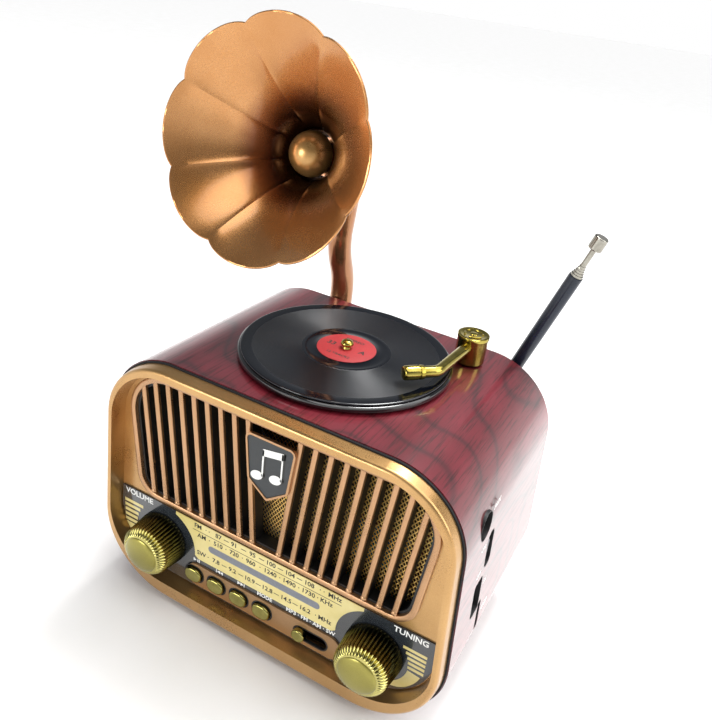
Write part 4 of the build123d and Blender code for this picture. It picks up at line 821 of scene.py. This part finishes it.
wire(vinyl, shader,
     Base_Color=add(vinyl, "ShaderNodeValToRGB", {"Fac": tracks},
                    stops=[(0.3, "#04060b"), (0.8, "#0a0e17")]),
     Roughness=add(vinyl, "ShaderNodeMath", {
         0: add(vinyl, "ShaderNodeMapRange", {"Value": tracks, "To Min": 0.05, "To Max": 0.12}),
         1: add(vinyl, "ShaderNodeMath", {0: grooved, 1: 0.26}, operation="MULTIPLY")}, operation="ADD"),
     Anisotropic=add(vinyl, "ShaderNodeMath", {0: grooved, 1: 0.95}, operation="MULTIPLY"),
     Tangent=add(vinyl, "ShaderNodeTangent", direction_type="RADIAL", axis="Z"),
     Normal=add(vinyl, "ShaderNodeBump", {
         "Height": add(vinyl, "ShaderNodeMath", {0: groove, 1: grooved}, operation="MULTIPLY"),
         "Strength": 0.35, "Distance": 0.00004}))
# the record's section: rounded rim, grooved band, run-out groove and label bed, round a hole
HOLE, ROUND_STEPS = 1.5, 192
record_profile = [(HOLE, 111.3), (38.1, 111.3), (38.42, 111.4), (38.58, 111.62), (38.6, 111.85),
                  (38.5, 112.06), (38.25, 112.18), (37.9, 112.2), (37.2, 112.14), (35.0, 112.12),
                  (34.7, 112.06), (16.6, 112.06), (16.2, 112.12), (15.2, 112.12), (14.9, 112.06),
                  (11.6, 112.06), (11.3, 112.19), (HOLE, 112.19)]
surface("pressed_record", turned(record_profile, ROUND_STEPS), vinyl, "turntable", "gloss_black",
        "record", round_rows=True)
# polished ABS: deep black with mirror-like highlights
gloss_abs = moulded("gloss_black_abs", "#060607", "#0c0c0e", 0.0016, rough=(0.06, 0.14), depth=0.00001,
                    Coat_Weight=0.7, Coat_Roughness=0.03)
platter_profile = [(HOLE, 109.0), (38.6, 109.0), (39.1, 109.12), (39.5, 109.5), (39.6, 110.0),
                   (39.6, 110.5), (39.45, 110.95), (39.1, 111.22), (38.6, 111.3), (HOLE, 111.3)]
surface("turntable_platter", turned(platter_profile, ROUND_STEPS), gloss_abs, "turntable",
        "gloss_black", "platter", round_rows=True)
# uncoated paper printed solid red, with black words
LABEL_BED, LABEL_TOP = 112.19, 112.4
label_paper = moulded("label_paper", "#9c1a1e", "#ac272a", 0.0012, rough=(0.5, 0.65), depth=0.00003)
label_profile = [(HOLE, LABEL_BED), (11.0, LABEL_BED), (11.0, LABEL_TOP - 0.04), (10.9, LABEL_TOP),
                 (HOLE, LABEL_TOP)]
surface("paper_label", turned(label_profile, 96), label_paper, "turntable", "red_print",
        "record_label", round_rows=True)
TOP_VIEW = Matrix.Identity(4)
lettering("label_print", [("33", -6.4, 0.0, 3.6), ("A", 6.4, 0.0, 3.6), ("STEREO", 0.0, 6.6, 2.2),
                          ("12 TRACKS", 0.0, -6.6, 1.9)],
          LABEL_TOP + INK / 2, black_ink, "grey_print", TOP_VIEW, "turntable")
# bright antique-gold plating: dark and pale bands with crisp edges
antique_gold = clouded("antique_gold_plating", "#a5974a", "#958538", "#b5a558", 0.005, (0.08, 0.2),
                       Metallic=1.0)
# a spindle cap with a waisted foot under a rounded button
button_turn = np.linspace(0, pi / 2, 10)
button = [(2.4 * np.cos(t) ** 0.7, 114.1 + 1.6 * np.sin(t)) for t in button_turn]
surface("spindle_cap_turned", turned([(0.0, 112.5), (1.7, 112.5), (1.5, 113.2), (1.7, 113.7),
                                      (2.3, 113.9), *button, (0.0, 115.7)], 48),
        antique_gold, "turntable", "gold_plating", "spindle_cap")

# ================= tonearm =================
# A short turned post with a raised emblem on its top, a bent tube and a thicker head, all
# plated ABS in antique gold. The post turns in a black bush in the roof.
POST = (37.4, 29.6)
ARM_Z, ARM_RADIUS, BEND_RADIUS = 116.0, 2.05, 5.0


def tube(path, radius, side, steps=40):
    """A round tube closed at both ends: at each point of a flat path, a circle in the plane of
    side, the path's own normal, and of the cross product of side and the path's direction."""
    path = np.array(path, float)
    radius = np.broadcast_to(np.array(radius, float), len(path))
    way = np.gradient(path, axis=0)
    way /= np.linalg.norm(way, axis=1, keepdims=True)
    side = np.array(side, float)
    across = np.cross(way, side)
    path, across = path[[0, *range(len(path)), -1]], across[[0, *range(len(across)), -1]]
    radius = np.concatenate([[0], radius, [0]])[:, None, None]
    angle = np.linspace(0, 2 * pi, steps, endpoint=False)[None, :, None]
    return path[:, None] + radius * (side * np.cos(angle) + across[:, None] * np.sin(angle))


coat(black_abs, "tonearm_bush")
post_profile = [(0.0, 102.4), (2.5, 102.4), (2.5, 108.9), (5.5, 108.9), (5.75, 109.15),
                (5.8, 109.6), (5.85, 118.3), (6.0, 118.6), (6.05, 119.6), (5.95, 119.95),
                (5.7, 120.05), (4.9, 120.05), (4.7, 119.95), (0.0, 119.95)]
surface("tonearm_post_turned", turned(post_profile, 96, POST), antique_gold, "tonearm",
        "gold_plating", "tonearm_post")
# the raised emblem on its top: a ring in three arcs round a plain button
ARCS, ARC_GAP, ARC_RADIUS, ARC_Z, ARC_THICK = 3, 0.25, 3.4, 120.0, 0.32
one_arc = np.linspace(ARC_GAP, 2 * pi / ARCS - ARC_GAP, 16)
arcs = []
for arc_number in range(ARCS):
    sweep = one_arc + arc_number * 2 * pi / ARCS
    arcs.append(np.column_stack([POST[0] + ARC_RADIUS * np.cos(sweep),
                                 POST[1] + ARC_RADIUS * np.sin(sweep), np.full(len(sweep), ARC_Z)]))


def bead_along(path, radius, steps=10):
    """A round bead along a level path: at each point a circle across the path, in the plane of
    the upright and of the level line square to the path, shrunk to a point at both ends."""
    upright = np.array((0, 0, 1.0))
    way = np.gradient(path, axis=0)
    way /= np.linalg.norm(way, axis=1, keepdims=True)
    across = np.cross(way, upright)
    taper = np.r_[0.0, np.full(len(path) - 2, radius), 0.0][:, None, None]
    angle = np.linspace(0, 2 * pi, steps, endpoint=False)[None, :, None]
    return path[:, None] + taper * (np.cos(angle) * across[:, None] + np.sin(angle) * upright)


emblem_button = turned([(0.0, 119.9), (1.5, 119.9), (1.4, 120.15), (0.9, 120.3), (0.0, 120.33)],
                       32, POST)
surface("post_emblem", [*[bead_along(arc, ARC_THICK) for arc in arcs], emblem_button],
        antique_gold, "tonearm", "gold_plating")
# the tube runs level from the post to the bend and on to the head
ARM_BEND = np.array((36.0, 0.2))
ARM_TIP = np.array((27.1, -9.4))
HEAD_LENGTH = 7.0
head_way = (ARM_TIP - ARM_BEND) / np.linalg.norm(ARM_TIP - ARM_BEND)
head_start = ARM_TIP - head_way * HEAD_LENGTH
arm_path = rounded([(*POST, ARM_Z), (*ARM_BEND, ARM_Z), (*head_start, ARM_Z)], BEND_RADIUS, 14,
                   closed=False)
surface("tonearm_tube_bent", tube(arm_path, ARM_RADIUS, (0, 0, 1)), antique_gold, "tonearm",
        "gold_plating", "tonearm_tube")
# the head's places along the arm and its radii: a collar, a groove and a rounded end
head_steps = np.array([(-0.6, 2.2), (-0.5, 2.45), (0.0, 2.55), (0.9, 2.6), (1.1, 2.3), (1.5, 2.3),
                       (1.7, 2.6), (5.8, 2.6), (6.5, 2.5), (6.85, 2.25), (HEAD_LENGTH, 1.9)])
head_path = np.column_stack([head_start + head_steps[:, 0:1] * head_way,
                             np.full(len(head_steps), ARM_Z)])
surface("tonearm_head_turned", tube(head_path, head_steps[:, 1], (0, 0, 1)), antique_gold,
        "tonearm", "gold_plating", "tonearm_head")

# ================= horn =================
# A flared bell of eight petals, spun in thin steel, creased between the petals and sprayed
# in copper lacquer. A plated dome closes the throat, and a bent pipe carries the bell.
HORN_TILT = radians(13.0)
MOUTH = np.array((-31.1, -18.0, 181.8))
INWARD = np.array((0.0, cos(HORN_TILT), -sin(HORN_TILT)))
HORN_UP = np.array((0.0, sin(HORN_TILT), cos(HORN_TILT)))
HORN_RIGHT = np.array((1.0, 0.0, 0.0))
NOTCH_RADIUS, PETAL_RADIUS, PETALS = 37.3, 39.3, 8
FLARE_LENGTH, FLARE_POWER, THROAT, THROAT_DEPTH = 43.0, 1.7, 7.0, 35.0
STEEL = 0.9


def flare(depth):
    """Inner radius of the bell at a depth: throat + (rim - throat) * (1 - depth / length) ^ power."""
    return THROAT + (PETAL_RADIUS - THROAT) * np.clip(1 - depth / FLARE_LENGTH, 0, 1) ** FLARE_POWER


bell_angle = np.linspace(0, 2 * pi, PETALS * 40, endpoint=False) + pi / 2
petal_turn = np.abs(((bell_angle - pi / 2) / (2 * pi / PETALS) + 0.5) % 1 - 0.5) * 2
# a petal's edge is an arc through both notches, written from the petal's middle to its notch
petal_fall = 0.72 * petal_turn ** 2 + 0.28 * petal_turn ** 6
rim_radius = PETAL_RADIUS - (PETAL_RADIUS - NOTCH_RADIUS) * petal_fall
rim_depth = FLARE_LENGTH * (1 - ((rim_radius - THROAT) / (PETAL_RADIUS - THROAT)) ** (1 / FLARE_POWER))
# from the rim to the throat, in steps that are closer together at the rim
share = np.linspace(0, 1, 46)[:, None] ** 0.85
depth = rim_depth + (THROAT_DEPTH - rim_depth) * share
# a shallow valley towards each notch, sharpest on the crease, that dies away down the throat
valley = ((0.45 * petal_turn ** 2 + 0.4 * petal_turn ** 8)
          * (1 - share) ** 0.5 * np.clip(share / 0.06, 0, 1))
radius = flare(depth) - valley
slope_r, slope_d = np.gradient(radius, axis=0), np.gradient(depth, axis=0)
length = np.hypot(slope_r, slope_d)
# the outer wall is a steel's thickness out from the inner one, the lip a half circle that
# joins them at the rim, and the collar a plain ring behind the throat
out_r, out_d = slope_d / length, -slope_r / length
lip_turn = np.linspace(-pi / 2, pi / 2, 7)[1:-1, None]
lip_out, lip_fore = np.sin(lip_turn) * STEEL / 2, np.cos(lip_turn) * STEEL / 2
mid_r, mid_d = radius[:1] + out_r[:1] * STEEL / 2, depth[:1] + out_d[:1] * STEEL / 2
lip_r = mid_r + lip_out * out_r[:1] - lip_fore * slope_r[:1] / length[:1]
lip_d = mid_d + lip_out * out_d[:1] - lip_fore * slope_d[:1] / length[:1]
outer_r, outer_d = radius + out_r * STEEL, depth + out_d * STEEL
whole_ring = np.ones_like(rim_radius)[None]
collar_r = np.array([8.1, 8.45, 8.6, 8.6, 8.3, 7.0])[:, None] * whole_ring
collar_d = np.array([38.6, 39.2, 40.0, 45.4, 46.0, 46.0])[:, None] * whole_ring
bell_r = np.vstack([radius[::-1], lip_r, outer_r, collar_r])
bell_d = np.maximum(np.vstack([depth[::-1], lip_d, outer_d, collar_d]), 0.0)
bell = (MOUTH + bell_d[..., None] * INWARD
        + bell_r[..., None] * (np.cos(bell_angle)[None, :, None] * HORN_RIGHT
                               + np.sin(bell_angle)[None, :, None] * HORN_UP))
# gloss copper lacquer: redder and smoother on the pipe, golden and grainy on the bell
horn_lacquer = metal_lacquer("horn_lacquer", "#95603a", "#ab7850", 0.2, 0.00014, gloss=0.6)
bell_lacquer = metal_lacquer("bell_lacquer", "#b57a40", "#ca935c", 0.25, 0.0002, gloss=0.6,
                             grain=0.15)
# painted shade inside the throat: the copper is painted darker the nearer it is to a point on
# the axis, but only on faces that look out of the mouth
THROAT_SHADE_SPOT = Vector(MOUTH + INWARD * 33.0) * MM
from_throat = add(bell_lacquer, "ShaderNodeMapRange", {
    "Value": add(bell_lacquer, "ShaderNodeVectorMath", {
        0: add(bell_lacquer, "ShaderNodeTexCoord", out="Object"), 1: THROAT_SHADE_SPOT},
        out="Value", operation="DISTANCE"),
    "From Min": 0.006, "From Max": 0.028})
outside = add(bell_lacquer, "ShaderNodeMapRange", {
    "Value": add(bell_lacquer, "ShaderNodeVectorMath", {
        0: add(bell_lacquer, "ShaderNodeTexCoord", out="Normal"), 1: Vector(INWARD)}, out="Value",
        operation="DOT_PRODUCT"), "From Min": -0.05, "From Max": 0.1})
# painted shade: multiplies the copper down to brown-black deep in the throat
painted_throat_shade = add(bell_lacquer, "ShaderNodeValToRGB", {
    "Fac": add(bell_lacquer, "ShaderNodeMath", {0: from_throat, 1: outside}, operation="ADD")},
    stops=[(0.0, "#2a1712"), (0.35, "#4a2c20"), (0.7, "#b59a86"), (1.0, "#ffffff")])
bell_shader = bell_lacquer.node_tree.nodes["Principled BSDF"]
copper_tone = bell_shader.inputs["Base Color"].links[0].from_socket
wire(bell_lacquer, bell_shader, Base_Color=add(
    bell_lacquer, "ShaderNodeVectorMath", {0: copper_tone, 1: painted_throat_shade}, operation="MULTIPLY"))
surface("horn_bell_petals", bell, bell_lacquer, "horn", "copper_paint", "horn_bell",
        round_rows=True, crease=13)


def along_horn(profile, steps=96):
    """A profile of (radius, depth) turned about the horn's own axis."""
    r, d = np.array(profile, float).T[:, :, None, None]
    angle = np.linspace(0, 2 * pi, steps, endpoint=False)[None, :, None]
    return MOUTH + d * INWARD + r * (np.cos(angle) * HORN_RIGHT + np.sin(angle) * HORN_UP)


# satin gold lacquer: a soft round highlight on the dome
dome_gold = metal_lacquer("dome_gold_lacquer", "#b08346", "#cba063", 0.3, 0.00016, metal=0.75,
                          gloss=0.5)
DOME_RADIUS, DOME_BASE = 8.2, 33.5
dome_turn = np.linspace(0, pi / 2, 16)
dome = [(DOME_RADIUS * sin(t), DOME_BASE - DOME_RADIUS * cos(t)) for t in dome_turn]
surface("throat_dome_spun", along_horn([*dome, (8.25, 33.7), (8.1, 34.6), (0.0, 34.6)]), dome_gold,
        "horn", "gold_plating", "throat_dome")

# the pipe: back from the collar, round an elbow, down, a slight bend towards the cabinet's back
# and down into the socket, wider towards the bell, with a peg of its own below
NECK_X, ELBOW_Y, PEG_Y = MOUTH[0], 43.4, 50.5
PEG_RADIUS, PEG_FOOT, PEG_HEAD = 3.95, 82.0, 96.5
elbow = MOUTH + INWARD * (ELBOW_Y - MOUTH[1]) / cos(HORN_TILT)
neck_path = rounded([MOUTH + INWARD * 44.0, elbow, (NECK_X, ELBOW_Y, 131.0), (NECK_X, PEG_Y, 115.5),
                     (NECK_X, PEG_Y, 96.3)], [15.0, 30.0, 30.0], 16, closed=False)
run = np.concatenate([[0], np.cumsum(np.linalg.norm(np.diff(neck_path, axis=0), axis=1))])
even = np.linspace(0, run[-1], 120)
neck_path = np.column_stack([np.interp(even, run, neck_path[:, axis]) for axis in range(3)])
neck_radius = np.interp(neck_path[:, 2], [0, 138.0, 165.0, 400.0], [5.0, 5.0, 6.9, 6.9])
peg = turned([(0.0, PEG_FOOT), (PEG_RADIUS, PEG_FOOT), (PEG_RADIUS, PEG_HEAD), (0.0, PEG_HEAD)],
             48, (NECK_X, PEG_Y))
surface("horn_neck_pipe", [tube(neck_path, neck_radius, (1, 0, 0), 48), peg], horn_lacquer, "horn",
        "copper_paint", "horn_neck")

# ================= aerial =================
# A two-stage telescopic aerial folds on a knuckle at the back. The lower tube is painted
# navy black, and the stages and the turned tip are drawn brass, chromed and a little worn.
# worn chrome: darker than new plating, with sharp dark and bright bands
chrome = moulded("worn_chrome", "#8e8a80", "#a8a59b", 0.0009, rough=(0.1, 0.18), depth=0.000004,
                 Metallic=1.0)
coat(chrome, "aerial_rod", "aerial_tip", "aerial_pin")
AERIAL_FOOT, AERIAL_LEAN = np.array((43.1, 51.0, 78.0)), radians(17.6)
along_arm = np.array((sin(AERIAL_LEAN), 0, cos(AERIAL_LEAN)))
across_arm = np.array((cos(AERIAL_LEAN), 0, -sin(AERIAL_LEAN)))
STAGE_BORE, STAGE_RADIUS, STAGE_FOOT, STAGE_TOP = 1.15, 1.9, 9.5, 74.9
STEP_PITCH, STEP_HIGH = 0.9, 0.8
# the stage's neck is drawn down to the rod in five small steps
neck_steps = [(r, 70.5 + STEP_PITCH * step + edge)
              for step, r in enumerate((2.4, 2.05, 1.75, 1.5, 1.3)) for edge in (0.0, STEP_HIGH)]
stage_profile = np.array([(STAGE_BORE, STAGE_FOOT), (STAGE_RADIUS, STAGE_FOOT),
                          (STAGE_RADIUS, 70.45), *neck_steps, (STAGE_BORE, STAGE_TOP)])
ring_angle = np.linspace(0, 2 * pi, 48, endpoint=False)[None, :, None]
stage_r, stage_d = stage_profile.T[:, :, None, None]
stage = AERIAL_FOOT + stage_d * along_arm + stage_r * (
    np.cos(ring_angle) * across_arm + np.sin(ring_angle) * np.array((0, 1.0, 0)))
surface("aerial_stage_drawn", stage, chrome, "aerial_middle", "chrome", "aerial_stage",
        round_rows=True)
# smooth gloss paint: almost black, with a blue cast where it catches the light
navy_paint = moulded("navy_black_paint", "#0a1424", "#101c30", 0.0012, rough=(0.18, 0.28), depth=0.000006)
coat(navy_paint, "aerial_sleeve")
coat(gloss_abs, "aerial_knuckle", "aerial_mount")

# ================= sockets and switch in the side =================
# A headphone-size jack, a slide switch, a USB port and a card slot stand behind cut-outs in
# the right-hand side, with small printed words beside them.
coat(black_abs, "jack_socket", "card_slot", "power_switch")
# tinned steel: soft grey metal
port_steel = moulded("tinned_steel", "#8f9296", "#a6a9ad", 0.0006, rough=(0.28, 0.42), Metallic=1.0)
coat(port_steel, "usb_socket")
# the side wall leans inwards from its foot; the openings' blackened cut edges follow it, but
# stay within the widest part of the cabinet
SIDE_FOOT, SIDE_FOOT_Z, SIDE_LEAN, SIDE_WIDEST = 76.6, 2.0, 0.0677, 74.33
EDGE_WALL, EDGE_FRONT, EDGE_DEEP = 0.35, 0.02, 3.4
JACK_HOLE = ((-27.0, 84.0), (10.6, 10.6, 5.29))
SWITCH_HOLE = ((-19.1, 69.5), (6.2, 15.2, 3.09))
USB_HOLE = ((-25.0, 52.1), (8.2, 15.2, 2.0))
CARD_HOLE = ((-19.4, 39.6), (3.2, 13.0, 0.8))


def on_side(ring, depth):
    """Places points of Y and Z on the side wall, depth inside it: X is the foot's less the lean
    times the height above the foot, and no more than the widest."""
    wall = np.minimum(SIDE_FOOT - SIDE_LEAN * (ring[:, 1] - SIDE_FOOT_Z), SIDE_WIDEST)
    return np.column_stack([wall - depth, ring])


edges = []
for middle, size in (JACK_HOLE, SWITCH_HOLE, USB_HOLE, CARD_HOLE):
    big, small = liner(middle, size, EDGE_WALL)
    edges.append(np.stack([on_side(big, EDGE_FRONT), on_side(small, EDGE_FRONT),
                           on_side(small, EDGE_DEEP), on_side(big, EDGE_DEEP)]))
surface("opening_edges", edges, black_abs, "cabinet", "black_plastic", round_rows=True)
# carries words drawn in X and Z to the leaning wall, where they read along Y
SIDE_VIEW = (Matrix.Translation((SIDE_FOOT * MM, 0, SIDE_FOOT_Z * MM))
             @ Matrix.Rotation(-SIDE_LEAN, 4, "Y")
             @ Matrix(((0, 0, 1, 0), (1, 0, 0, 0), (0, 1, 0, 0), (0, 0, 0, 1))))
lettering("side_legends", [("AUX", -18.4, 86.0, 2.9), ("ON", -26.4, 72.5, 2.4),
                           ("OFF", -26.8, 61.5, 2.4), ("5V", -17.6, 52.5, 2.6),
                           ("CARD", -12.6, 37.6, 2.4)],
          INK / 2 + 0.01, white_ink, "cream_print", SIDE_VIEW)
# moulded grey ABS: plain satin
grey_abs = moulded("grey_abs", "#5d6166", "#6c7075", 0.0005, rough=(0.4, 0.55))
coat(grey_abs, "power_slider")
